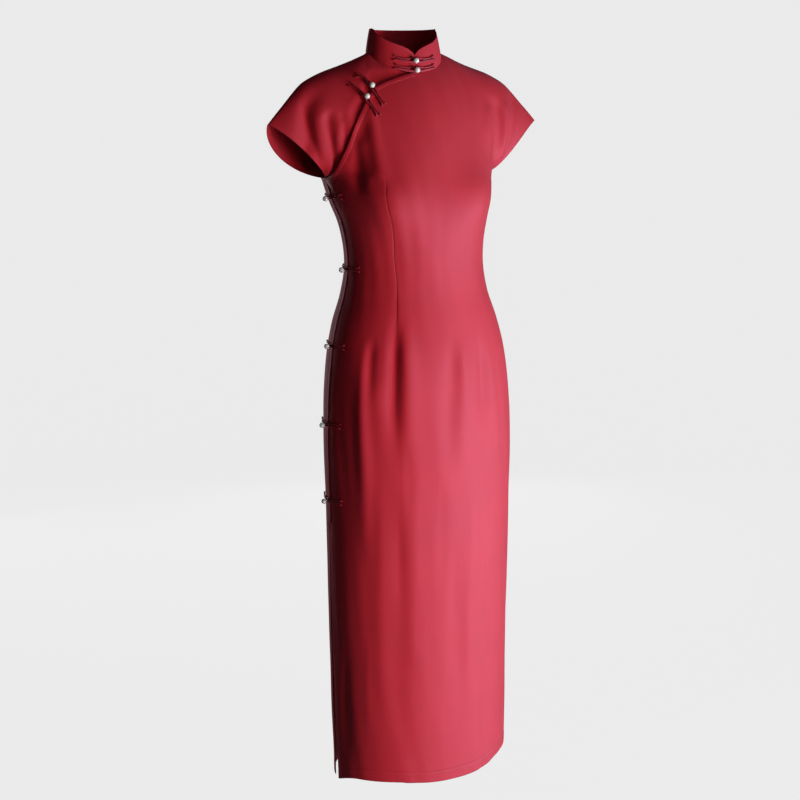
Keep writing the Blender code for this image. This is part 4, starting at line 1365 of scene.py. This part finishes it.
@dataclass
class Underlap:
    """The small right front: shoulder, sleeve front and the part under the overlap."""

    name: str = "underlap_cloth"
    inset: float = 0.0030      # how far it lies below the front where the two lap
    reach: float = 0.16        # how far it runs under the front, share of t
    last: float = 0.10         # share of t that it does not run past
    sink_from: float = 0.15    # share of t before the overlap's edge where it starts to sink
    sink_over: float = 0.10    # share of t over which it sinks
    seed: int = 23
    columns: int = 62
    flat: tuple[float, float] = (0.25, 0.27)
    area: float = 0.0335

    def build(self, form: DressForm, finish: Material) -> Object:
        """Build and dress the underlap.

        Args:
            form: The form that it lies on.
            finish: Its material.

        Returns:
            The piece.
        """
        heights = np.concatenate((TOP_ROWS, np.arange(-0.0070, UNDERARM - 0.018, -0.0034),
                                  [UNDERARM - 0.020, UNDERARM - 0.0212, UNDERARM - 0.022]))
        c = np.unique(np.concatenate((np.linspace(0.0, 1.0, self.columns), EDGE_STEPS,
                                      1.0 - EDGE_STEPS)))
        h = np.repeat(heights[:, None], len(c), axis=1)
        cut = form.overlap_at(h)
        right = np.minimum(cut + self.reach, self.last)
        left = -form.reach(Side.FRONT, h)
        t = left + (right - left) * c[None]
        base, out = form.cloth(Side.FRONT, t, h)
        taper = soft_step((t - cut + self.sink_from) / self.sink_over)
        first, _, below_top, _ = border_distance(base)
        lift = CLOTH_TOP - self.inset * taper + Waviness(self.seed).lift(t, h)
        lift = creased(lift, CREASES_FRONT, t, h)
        wall = WALL + TURNED * soft_step((CUFF_WIDTH - first) / TURN_STEP)
        lift = sewn_shoulder(lift, wall, t, below_top)
        # Edge mask along the right edge: wear at the sleeve edge, painted shade along the side
        # seam.
        piece = sew_net(self.name, base, out, lift, wall,
                        np.stack((t * QUARTER, h), axis=-1), np.exp(-first / RUBBED))
        settle(piece, finish, "cloth", "underlap_front")
        return piece


@dataclass
class StandCollar:
    """The stiffened stand collar, one band whose rounded ends meet at centre front."""

    name: str = "collar_band"
    wall: float = 0.0021
    set_in: float = 0.0011     # how far inside the neck seam it stands
    room: float = 0.0004       # room between it and the cloth
    side_room: float = 0.0018  # and what is added at the shoulder
    tuck: float = 0.0010       # how deep it goes into the neck seam
    side_tuck: float = 0.0017  # and what is added at the shoulder
    press_line: float = 0.0042     # the pressed line along its edge lies this far in
    press_depth: float = 0.00022
    rubbed: float = 0.0010     # how far in from its edge it is rubbed and darkened
    half_seam: float = 0.19    # half of the neck seam's length
    flat: tuple[float, float] = (0.385, 0.042)
    area: float = 0.0140

    def __post_init__(self) -> None:
        """Read the collar's table."""
        self.table = Curve(COLLAR)

    def seat(self, form: DressForm, u: Array) -> tuple[Array, Array]:
        """Find the neck seam.

        Args:
            form: The form.
            u: Distance round the neck, -1 to 1 from centre front to centre front.

        Returns:
            Points of the seam and the outward normals there.
        """
        far = np.abs(u)
        share = np.where(far > 0.5, (1.0 - far) * 2.0, far * 2.0)
        t = np.copysign(NECK_SHARE * share, u)
        low = np.full_like(t, -0.002)
        front = (far > 0.5)[..., None]
        seat = np.where(front, form.top(Side.FRONT, t), form.top(Side.BACK, t))
        n = np.where(front, form.facing(Side.FRONT, t, low), form.facing(Side.BACK, t, low))
        return seat, n

    def point(self, form: DressForm, u: Array, w: Array) -> Array:
        """Find the inner face of the collar.

        Args:
            form: The form.
            u: Distance round the neck.
            w: Height above the neck seam.

        Returns:
            Its points.
        """
        u, w = np.broadcast_arrays(np.asarray(u, float), np.asarray(w, float))
        seat, n = self.seat(form, u)
        out = np.stack((seat[..., 0], seat[..., 1] - SHOULDER[0][1], np.zeros_like(u)), axis=-1)
        out /= np.linalg.norm(out, axis=-1, keepdims=True)
        height, lean = np.moveaxis(self.table(np.abs(u)), -1, 0)
        rise = w / height
        side = self.beside(u)
        stand = CLOTH_TOP + self.room + self.side_room * side * side
        seat = seat + n * stand[..., None] - out * self.set_in
        drawn = lean * (0.75 * rise + 0.25 * rise * rise)
        return seat + np.stack((0 * w, 0 * w, w), axis=-1) - out * drawn[..., None]

    def beside(self, u: Array) -> Array:
        """Return how near to the shoulder a place is, 0 at centre front and back."""
        return 1.0 - np.abs(2.0 * np.abs(u) - 1.0)

    def facing(self, form: DressForm, u: Array, w: Array) -> Array:
        """Find the outward normals of the collar.

        Args:
            form: The form.
            u: Distance round the neck.
            w: Height above the neck seam.

        Returns:
            The normals.
        """
        eu, ew = 0.01, 0.002
        du = (self.point(form, np.minimum(u + eu, 1.0), w)
              - self.point(form, np.maximum(u - eu, -1.0), w))
        n = np.cross(self.point(form, u, w + ew) - self.point(form, u, w - ew), du)
        return n / np.linalg.norm(n, axis=-1, keepdims=True)

    def build(self, form: DressForm, finish: Material) -> Object:
        """Build and dress the collar.

        Args:
            form: The form that it stands on.
            finish: Its material.

        Returns:
            The piece.
        """
        half = np.concatenate((np.linspace(0.0, 0.90, 64), np.linspace(0.908, 0.984, 14),
                               [0.9885, 0.9920, 0.9948, 0.9964, 0.9972, 0.9975]))
        u = np.concatenate((-half[:0:-1], half))
        share = np.concatenate(([0.0, 0.004, 0.015, 0.035], np.linspace(0.07, 0.93, 16),
                                [0.955, 0.974, 0.988, 0.996, 1.0]))
        grid_u = np.repeat(u[None], len(share), axis=0)
        height = self.table(np.abs(u))[:, 0]
        beside = self.beside(u)
        tucked = self.tuck + self.side_tuck * beside * beside
        grid_w = share[:, None] * (height + tucked)[None] - tucked[None]
        base = self.point(form, grid_u, grid_w)
        out = self.facing(form, grid_u, grid_w)
        ends, other, low, high = border_distance(base)
        ends = np.minimum(ends, other)
        pull = np.sin(grid_u * 57.0) * np.exp(-low / 0.006) * 0.00012
        margin = np.minimum(ends, high)
        press = -self.press_depth * bell(margin - self.press_line, 0.0010)
        # Edge mask: wear along the collar's edges, painted shade at its foot by the neck seam.
        edge = np.maximum(np.exp(-margin / self.rubbed), np.exp(-low / 0.0015))
        wall = np.full(grid_w.shape, self.wall)
        piece = sew_net(self.name, base, out, wall + pull + press, wall,
                        np.stack((grid_u * self.half_seam, grid_w), axis=-1), edge)
        settle(piece, finish, "cloth", "collar")
        return piece


@dataclass
class OverlapBinding:
    """The narrow bound edge along the overlap and down the side opening."""

    name: str = "overlap_binding_strip"
    start: float = -0.0035     # height at which the strip starts
    crown: float = 0.0010      # height of its outer face over the cloth
    curl: float = 0.0016       # how far it turns down at the edge of the overlap
    wall: float = 0.0006
    pull: float = 0.00006      # unevenness from the sewing
    pull_run: int = 4          # steps of the path from one pull to the next
    step: float = 0.0035       # mean length of a step of the path
    seed: int = 7
    flat: tuple[float, float] = (0.0145, 0.98)
    area: float = 0.0072

    def path(self, form: DressForm) -> list[tuple[float, float]]:
        """Follow the edge from the collar to the slit.

        Args:
            form: The form.

        Returns:
            Places along the edge, as t and h.
        """
        found = []
        for h in np.concatenate((np.linspace(self.start, -0.030, 16),
                                 np.arange(-0.034, UNDERARM, -0.0030))):
            found.append((min(float(form.overlap_at(np.array(h))), -0.0008), float(h)))
        for h in np.arange(UNDERARM, SLIT_TOP + 0.013, -0.0045):
            found.append((-float(form.reach(Side.FRONT, np.array([h]))[0]), float(h)))
        return [(max(t, -1.0 + SEAM_SHARE), h) for t, h in found]

    def build(self, form: DressForm, skin: Skin, finish: Material) -> Object:
        """Build and dress the binding.

        Args:
            form: The form.
            skin: The cloth that it lies on.
            finish: Its material.

        Returns:
            The piece.
        """
        across = np.array([-0.0007, -0.0004, 0.0, 0.0006, 0.0014, 0.0026, 0.0040, 0.0054,
                           0.0063, 0.0068, 0.0071, BINDING_WIDTH])
        path = self.path(form)
        bases, outs, highs = [], [], []
        e = 0.001
        for t, h in path:
            h0, h1 = min(h + 0.003, -0.0002), h - 0.003
            t0, t1 = (float(form.overlap_at(np.array(x))) for x in (h0, h1))
            laid, ups = form.cloth(Side.FRONT, np.array([t, t + e, t, t0, t1]),
                                   np.array([h, h, h - e, h0, h1]))
            (here, beyond, below, before, after), n = laid, ups[0]
            side = np.cross(after - before, n)
            side /= -np.linalg.norm(side)
            tangents = np.stack(((beyond - here) / e, (here - below) / e), axis=1)
            step = np.linalg.lstsq(tangents, side, rcond=None)[0]
            tt = t + step[0] * across
            hh = np.minimum(h + step[1] * across, self.start)
            points, normals = form.cloth(Side.FRONT, np.clip(tt, -1.0, 0.2), hh)
            beside = np.maximum(-(tt + 1.0), 0.0) * QUARTER
            points = points - np.stack((beside, 0 * beside, 0 * beside), axis=1)
            bases.append(points)
            outs.append(normals)
            highs.append([skin.above(points[k], normals[k]) for k in (4, 6, 8)])
        base, out = np.array(bases), np.array(outs)
        rest = np.array(highs).max(axis=1)
        rest = np.array([rest[max(0, i - 2):i + 3].max() for i in range(len(rest))])
        inward = np.clip((across - across[0]) / self.curl, 0.0, 1.0)
        curl = -self.curl * (1.0 - np.sqrt(np.clip(1.0 - (1.0 - inward) ** 2, 0.0, 1.0)))
        flatten = self.crown * (1.0 - 0.45 * soft_step((across - 0.0046) / 0.0026))
        lift = rest[:, None] + (curl + flatten)[None]
        draw = np.random.default_rng(self.seed)
        pulled = np.arange(0, len(path) + self.pull_run, self.pull_run)
        pull = np.interp(np.arange(len(path)), pulled, draw.normal(0, self.pull, len(pulled)))
        lift = lift + pull[:, None]
        wall = np.full(lift.shape, self.wall)
        run = np.arange(len(path))[:, None] * self.step + 0 * across[None]
        lay = np.stack((0.7 * run + across, 0.7 * run - across), axis=-1)
        # Edge mask: wear at the strip's folded outer edge, painted shade along its inner border
        # where it is sewn down.
        edge = np.exp(-np.abs(np.minimum(across, BINDING_WIDTH - across)) / 0.0010)
        piece = sew_net(self.name, base, out, lift, wall, lay, np.broadcast_to(edge, lift.shape))
        settle(piece, finish, "binding", "overlap_binding")
        return piece


# -------------------------------------------------------------------- frogs and pearls
def spot(place: Place, share: float) -> tuple[Array, Array]:
    """Return the point and the normal of a line at one share of its length."""
    points, normals = place(np.array([share]))
    return points[0], normals[0]


@dataclass
class Frog:
    """A fastening: a loop half and a base half of doubled cord, and a pearl button."""

    name: str
    loop_at: Place
    base_at: Place
    tuck: float = 0.0017       # how deep the cord's ends are tucked under
    tuck_run: float = 0.0012   # length over which they go down
    thread: float = 0.00014    # radius of the sewing thread
    stitched: tuple[float, ...] = (0.03, 0.07, 0.17, 0.28, 0.72, 0.83, 0.93, 0.97)

    def half(self, place: Place, skin: Skin, bend_at: float) -> Array:
        """Lay a doubled cord that is bent round at the pearl.

        Args:
            place: Point and normal of the cloth from the pearl (0) to the half's end (1).
            skin: What the cord lies on.
            bend_at: Distance of the bend from the pearl.

        Returns:
            The cord's centre points.
        """
        length = float(np.linalg.norm(spot(place, 1.0)[0] - spot(place, 0.0)[0]))
        runs = [(along, apart / 2) for along, apart in CORD_RUN]
        first = max(runs[0][0], bend_at + 0.004)
        runs = [(first, runs[0][1])] + [r for r in runs if r[0] > first + 0.003]
        r = runs[0][1] * 0.92
        bend = [(bend_at + r * (1 - math.cos(a)), r * math.sin(a))
                for a in np.linspace(math.pi / 2, -math.pi / 2, 7)]
        flat = [(a, q) for a, q in reversed(runs)] + bend + [(a, -q) for a, q in runs]
        drawn = spline(np.array([(a, q, 0.0) for a, q in flat]), 0.0015)
        points, ups = place(drawn[:, 0] / length)
        across = np.cross(ups, place(drawn[:, 0] / length + 0.02)[0] - points)
        across /= np.linalg.norm(across, axis=1, keepdims=True)
        seats = points + across * drawn[:, 1:2]
        rests = [max(skin.above(seat + aside * d, n) for d in (-CORD_RADIUS, 0.0, CORD_RADIUS))
                 for seat, aside, n in zip(seats, across, ups)]
        span = 5                   # points over which the cord bridges a hollow
        held = np.pad(rests, span - 1, mode="edge")
        high = [held[i:i + span].max() for i in range(len(rests) + span - 1)]
        eased = np.convolve(high, np.full(span, 1 / span), "valid")
        path = list(seats + ups * (eased + GAP + CORD_RADIUS)[:, None])
        for end, inner in ((0, 1), (-1, -2)):
            away = path[end] - path[inner]
            away /= np.linalg.norm(away)
            tip = path[end] + away * self.tuck_run - ups[end] * self.tuck
            path = [tip] + path if end == 0 else path + [tip]
        return spline(np.array(path), 0.0009)

    def stitches(self, path: Array, ups: Array) -> list[tuple[Array, Faces, Array]]:
        """Sew the small whip stitches that hold a cord's runs and ends down.

        Args:
            path: Evenly spaced centre points of the cord.
            ups: The way up from the cloth, beside the pearl.

        Returns:
            Points, faces and cloth places of each stitch.
        """
        thread = Tube(self.thread, sides=6, turn=0.002, ridge=0.0)
        found = []
        count = len(path)
        for share in self.stitched:
            i = min(max(1, int(share * count)), count - 2)
            ahead = path[i + 1] - path[i - 1]
            ahead /= np.linalg.norm(ahead)
            up = ups - ahead * np.dot(ups, ahead)
            up /= np.linalg.norm(up)
            side = np.cross(ahead, up)
            arc = [path[i] + (CORD_RADIUS + 0.00012) * (math.cos(a) * side + math.sin(a) * up)
                   + ahead * 0.0006 * math.cos(a) for a in np.linspace(-0.35, math.pi + 0.35, 9)]
            found.append(thread.sweep(np.array(arc)))
        return found

    def build(self, skin: Skin, cord: Material, thread: Material, pearl: Material) -> list[Object]:
        """Build and dress the frog.

        Args:
            skin: The cloth that it is sewn on.
            cord: Material of the cord.
            thread: Material of the stitches.
            pearl: Material of the button.

        Returns:
            Its pieces.
        """
        loop = self.half(self.loop_at, skin, LOOP_BEND)
        base = self.half(self.base_at, skin, BASE_BEND)
        made, sewn = [], []
        seat, up = spot(self.loop_at, 0.0)
        up = up + spot(self.base_at, 0.0)[1]
        up /= np.linalg.norm(up)
        for kind, path, place in (("loop", loop, self.loop_at), ("base", base, self.base_at)):
            verts, faces, lay = Tube(CORD_RADIUS).sweep(path)
            name = f"frog_{self.name}_{kind}"
            piece = add_piece(name + "_cord", verts, faces, lay, np.zeros(len(verts)))
            made.append(settle(piece, cord, "cord", name))
            sewn += self.stitches(path, spot(place, 0.6)[1])
        verts, faces, lay = join_parts(sewn)
        stitching = add_piece(f"frog_{self.name}_stitches", verts, faces, lay,
                              np.zeros(len(verts)))
        made.append(settle(stitching, thread, "cord"))
        made.append(PearlButton(self.name).build(self, seat, up, (loop, base), skin, pearl))
        return made


@dataclass
class PearlButton:
    """A round pearl button on its shank."""

    name: str
    rings: int = 26
    sides: int = 40
    drilled: float = 0.985     # height of the pearl, as a share of its width

    def hang(self, frog: Frog, seat: Array, up: Array, cords: Sequence[Array],
             skin: Skin) -> tuple[Array, Array, float]:
        """Work out how the button hangs, clear of the cords.

        Args:
            frog: The frog that it fastens.
            seat: Point of the cloth under the pearl.
            up: The way up.
            cords: Centre points of the frog's two cords.
            skin: The cloth.

        Returns:
            The foot of the shank, the way it leans, and the pearl's height along it.
        """
        under = max(skin.above(*spot(line, share)) for line in (frog.loop_at, frog.base_at)
                    for share in (0.0, 0.02, 0.06, 0.12)) + GAP
        axis = up + np.array(SWAY[frog.name.split("_")[0]])
        axis /= np.linalg.norm(axis)
        upright = float(np.dot(axis, up))
        pivot = seat + up * (under + GAP + CORD_RADIUS)
        foot = pivot - axis * ((CORD_RADIUS - GAP) / upright)
        rest = (PEARL_RADIUS - CORD_RADIUS) / upright
        clear = PEARL_RADIUS + CORD_RADIUS + 0.0004
        for p in np.concatenate(cords):
            high = float(np.dot(p - pivot, axis))
            aside = float(np.linalg.norm(p - pivot - axis * high))
            if aside < clear:
                rest = max(rest, high + math.sqrt(clear * clear - aside * aside))
        return foot, axis, rest + float(np.linalg.norm(pivot - foot))

    def build(self, frog: Frog, seat: Array, up: Array, cords: Sequence[Array], skin: Skin,
              finish: Material) -> Object:
        """Build and dress the button.

        Args:
            frog: The frog that it fastens.
            seat: Point of the cloth under the pearl.
            up: The way up.
            cords: Centre points of the frog's two cords.
            skin: The cloth.
            finish: Its material.

        Returns:
            The piece.
        """
        foot, axis, lift = self.hang(frog, seat, up, cords, skin)
        meet = math.asin(SHANK_RADIUS / PEARL_RADIUS)
        turned = [(SHANK_RADIUS * 1.2, 0.0), (SHANK_RADIUS, 0.0005)]
        turned += [(PEARL_RADIUS * math.sin(math.pi - a),
                    lift + PEARL_RADIUS * math.cos(math.pi - a) * self.drilled)
                   for a in np.linspace(meet, math.pi, self.rings)[:-1]]
        n = Vector(axis)
        x = n.orthogonal().normalized()
        y = n.cross(x)
        low = Vector(foot)
        angles = np.linspace(0, 2 * math.pi, self.sides, endpoint=False)
        verts = [low + n * high + (x * math.cos(a) + y * math.sin(a)) * radius
                 for radius, high in turned for a in angles]
        verts += [low, low + n * (lift + PEARL_RADIUS * self.drilled)]
        piece = add_piece(f"pearl_{self.name}_button", np.array([tuple(v) for v in verts]),
                          capped_rings(len(turned), self.sides))
        return settle(piece, finish, "pearl", "pearl_" + self.name)


@dataclass
class FrogSet:
    """All nine frogs: two on the collar, two on the chest and five down the right side."""

    form: DressForm
    collar: StandCollar

    def on_panel(self, side: Side, t0: float, h0: float, t1: float, h1: float) -> Place:
        """Lay the line of a half over a panel.

        Args:
            side: The panel on which the half ends.
            t0: Share of t of the pearl.
            h0: Its height.
            t1: Share of t of the half's end.
            h1: Its height.

        Returns:
            The line, from the pearl to the end.
        """
        def place(share: Array) -> tuple[Array, Array]:
            """Find places on the line.

            Args:
                share: Shares of its length.

            Returns:
                Points of the cloth and its normals there.
            """
            t, h = t0 + (t1 - t0) * share, h0 + (h1 - h0) * share
            past = (t < -1.0)[:, None]
            t = np.where(t < -1.0, -2.0 - t, t)
            near, far = self.form.cloth(side, t, h), self.form.cloth(Side(-side.value), t, h)
            return np.where(past, far[0], near[0]), np.where(past, far[1], near[1])

        return place

    def on_collar(self, hand: int, w0: float, w1: float) -> Place:
        """Lay the line of a half over the collar.

        Args:
            hand: 1 for the wearer's left, -1 for the right.
            w0: Height of the pearl above the neck seam.
            w1: Height of the half's end.

        Returns:
            The line, from centre front to one side.
        """
        def place(share: Array) -> tuple[Array, Array]:
            """Find places on the line.

            Args:
                share: Shares of its length.

            Returns:
                Points of the collar and its normals there.
            """
            u = 1.0 - COLLAR_FROG_REACH * share
            u, w = hand * np.where(u > 1.0, u - 2.0, u), w0 + (w1 - w0) * share
            return self.collar.point(self.form, u, w), self.collar.facing(self.form, u, w)

        return place

    def build(self, skin: Skin, cord: Material, thread: Material, pearl: Material) -> None:
        """Build every frog.

        Args:
            skin: The cloth that they are sewn on.
            cord: Material of the cords.
            thread: Material of the stitches.
            pearl: Material of the buttons.
        """
        for name, pearl_w, end_w in COLLAR_FROGS:
            Frog(name, self.on_collar(1, pearl_w, end_w),
                 self.on_collar(-1, pearl_w, end_w)).build(skin, cord, thread, pearl)
        for name, near, t0, h0, t1, h1, far, t2, h2 in FROGS:
            Frog(name, self.on_panel(Side[near.upper()], t1, h1, t0, h0),
                 self.on_panel(Side[far.upper()], t1, h1, t2, h2)).build(skin, cord, thread, pearl)


# ------------------------------------------------------------------------- the studio
class Reach(Enum):
    """Which part of a finish a lamp feeds."""

    BOTH = "both"
    MATTE = "matte"
    GLOSS = "gloss"


@dataclass(frozen=True)
class SoftLight:
    """A large soft lamp."""

    name: str
    place: tuple[float, float, float]
    aim: tuple[float, float, float]
    size: tuple[float, float]
    power: float
    colour: Colour = (1.0, 1.0, 1.0)
    reach: Reach = Reach.BOTH

    def build(self) -> Object:
        """Hang the lamp.

        Returns:
            The lamp.
        """
        data = bpy.data.lights.new(self.name, "AREA")
        data.shape, data.energy, data.color = "RECTANGLE", self.power, self.colour
        data.size, data.size_y = self.size
        lamp = bpy.data.objects.new(self.name, data)
        lamp.location = self.place
        lamp.visible_camera = False
        lamp.visible_diffuse = self.reach is not Reach.GLOSS
        lamp.visible_glossy = self.reach is not Reach.MATTE
        lamp.rotation_euler = (Vector(self.aim) - Vector(self.place)).to_track_quat(
            "-Z", "Y").to_euler()
        bpy.context.scene.collection.objects.link(lamp)
        return lamp


@dataclass
class Studio:
    """The camera, the lamps and a plain pale floor that curves up all round."""

    floor_z: float = -1.43
    radius: float = 4.6
    curve: float = 1.6
    height: float = 4.2
    azimuth: float = -24.0
    distance: float = 2.65
    eye_z: float = -0.12
    pitch: float = 10.8
    roll: float = -1.0
    lens: float = 65.6
    sensor: float = 36.0
    shift: tuple[float, float] = (-0.0120, 0.0)
    air: float = 0.04          # strength of the room's own light

    def camera(self) -> Object:
        """Set up the scene's camera.

        Returns:
            The camera.
        """
        a, down = math.radians(self.azimuth), math.radians(self.pitch)
        place = Vector((math.sin(a) * self.distance, -math.cos(a) * self.distance, self.eye_z))
        look = Vector((-math.sin(a) * math.cos(down), math.cos(a) * math.cos(down),
                       -math.sin(down)))
        right = look.cross(Vector((0, 0, 1))).normalized()
        up = right.cross(look)
        turn = Matrix((right, up, -look)).transposed().to_4x4()
        data = bpy.data.cameras.new("camera")
        data.lens, data.sensor_width = self.lens, self.sensor
        data.shift_x, data.shift_y = self.shift
        data.clip_start, data.clip_end = 0.05, 60.0
        made = bpy.data.objects.new("camera", data)
        made.matrix_world = (Matrix.Translation(place) @ turn
                             @ Matrix.Rotation(math.radians(self.roll), 4, "Z"))
        bpy.context.scene.collection.objects.link(made)
        bpy.context.scene.camera = made
        return made

    def floor(self, finish: Material) -> Object:
        """Lay the floor.

        Args:
            finish: Its material.

        Returns:
            The floor.
        """
        flat = self.radius - self.curve
        profile = [(r, 0.0) for r in np.linspace(0.5, flat, 7)]
        profile += [(flat + self.curve * math.sin(a), self.curve * (1 - math.cos(a)))
                    for a in np.linspace(0.1, math.pi / 2, 16)]
        profile += [(self.radius, z) for z in np.linspace(self.curve + 0.3, self.height, 5)]
        around = np.linspace(0, 2 * math.pi, 96, endpoint=False)
        verts = np.array([(r * math.cos(a), r * math.sin(a), self.floor_z + z)
                          for r, z in profile for a in around] + [(0, 0, self.floor_z)])
        k, rows = len(around), len(profile)
        faces = [((r + 1) * k + i, (r + 1) * k + (i + 1) % k, r * k + (i + 1) % k, r * k + i)
                 for r in range(rows - 1) for i in range(k)]
        faces += [(len(verts) - 1, i, (i + 1) % k) for i in range(k)]
        made = add_piece("studio_floor", verts, faces)
        made.data.materials.append(finish)
        return made

    def lamps(self) -> None:
        """Hang the lamps and set the room's own light."""
        for lamp in LAMPS:
            lamp.build()
        world = bpy.data.worlds.new("studio_air")
        world.use_nodes = True
        ground = world.node_tree.nodes["Background"]
        ground.inputs["Color"].default_value = (1.0, 1.0, 1.0, 1.0)
        ground.inputs["Strength"].default_value = self.air
        bpy.context.scene.world = world
        bpy.context.scene.view_settings.view_transform = "Standard"


DAYLIGHT = (1.0, 0.97, 1.0)
LAMPS = (SoftLight("window_lamp", (0.82, -1.84, -0.90), (0.0, 0.0, -0.82), (0.9, 0.9), 44.0,
                   DAYLIGHT, Reach.MATTE),
         SoftLight("bloom_lamp", (1.50, -1.58, -1.28), (0.0, 0.0, -1.00), (1.8, 1.0), 178.0,
                   DAYLIGHT, Reach.GLOSS),
         SoftLight("side_lamp", (2.05, -0.80, -1.05), (0.0, 0.0, -0.90), (0.5, 1.2), 3.0,
                   DAYLIGHT, Reach.MATTE),
         SoftLight("front_lamp", (0.55, -1.50, 0.30), (0.0, 0.0, -0.10), (0.8, 0.8), 1.7,
                   reach=Reach.MATTE),
         SoftLight("back_lamp", (1.06, 2.38, -0.40), (0.0, 0.0, -0.60), (1.2, 1.6), 34.0),
         SoftLight("far_back_lamp", (-0.75, 2.45, -0.50), (0.0, 0.0, -0.70), (1.0, 1.6), 14.0))


def main() -> None:
    """Build the dress and the studio, in the order of making."""
    logging.basicConfig(level=logging.INFO, format="%(name)s: %(message)s")
    studio = Studio()
    studio.camera()
    effects = SharedEffects()
    crepe = CrepeFinish("crepe_red", (0.50, 0.007, 0.012), (0.58, 0.011, 0.018), 0.72, 2200.0,
                        900.0, 0.22, 0.06).build(effects)
    binding = CrepeFinish("binding_red", (0.51, 0.007, 0.012), (0.59, 0.011, 0.018), 0.55,
                          2200.0, 1100.0, 0.20, 0.06).build(effects)
    # The cords are drawn darker than the dress's crepe, as painted shade.
    cord = CrepeFinish("cord_red", (0.33, 0.004, 0.007), (0.42, 0.006, 0.011), 0.58, 2600.0,
                       1400.0, 0.30, 0.06).build(effects)
    thread = CrepeFinish("thread_red", (0.46, 0.006, 0.010), (0.56, 0.009, 0.016), 0.45,
                         6000.0, 3000.0, 0.15, 0.05).build(effects)
    pearl = PearlFinish().build()
    form = DressForm()
    front = Panel("front_cloth", "front_panel", Side.FRONT, (0.53, 1.33), 0.566,
                  (Dart(DART_RIGHT, -0.383), Dart(DART_LEFT, 0.317, depth=0.0002, press=0.4)),
                  CREASES_FRONT, Waviness(3), opens_right=True).build(form, crepe)
    back = Panel("back_cloth", "back_panel", Side.BACK, (0.56, 1.33), 0.613,
                 (Dart(DART_BACK, 0.385), Dart(tuple((h, -t) for h, t in DART_BACK), -0.385)),
                 CREASES_BACK, Waviness(11)).build(form, crepe)
    under = Underlap().build(form, crepe)
    collar = StandCollar()
    band = collar.build(form, crepe)
    strip = OverlapBinding().build(form, Skin([front, under]), binding)
    FrogSet(form, collar).build(Skin([front, back, under, band, strip]), cord, thread, pearl)
    studio.floor(StudioFinish().build())
    studio.lamps()


if __name__ == "__main__":
    main()
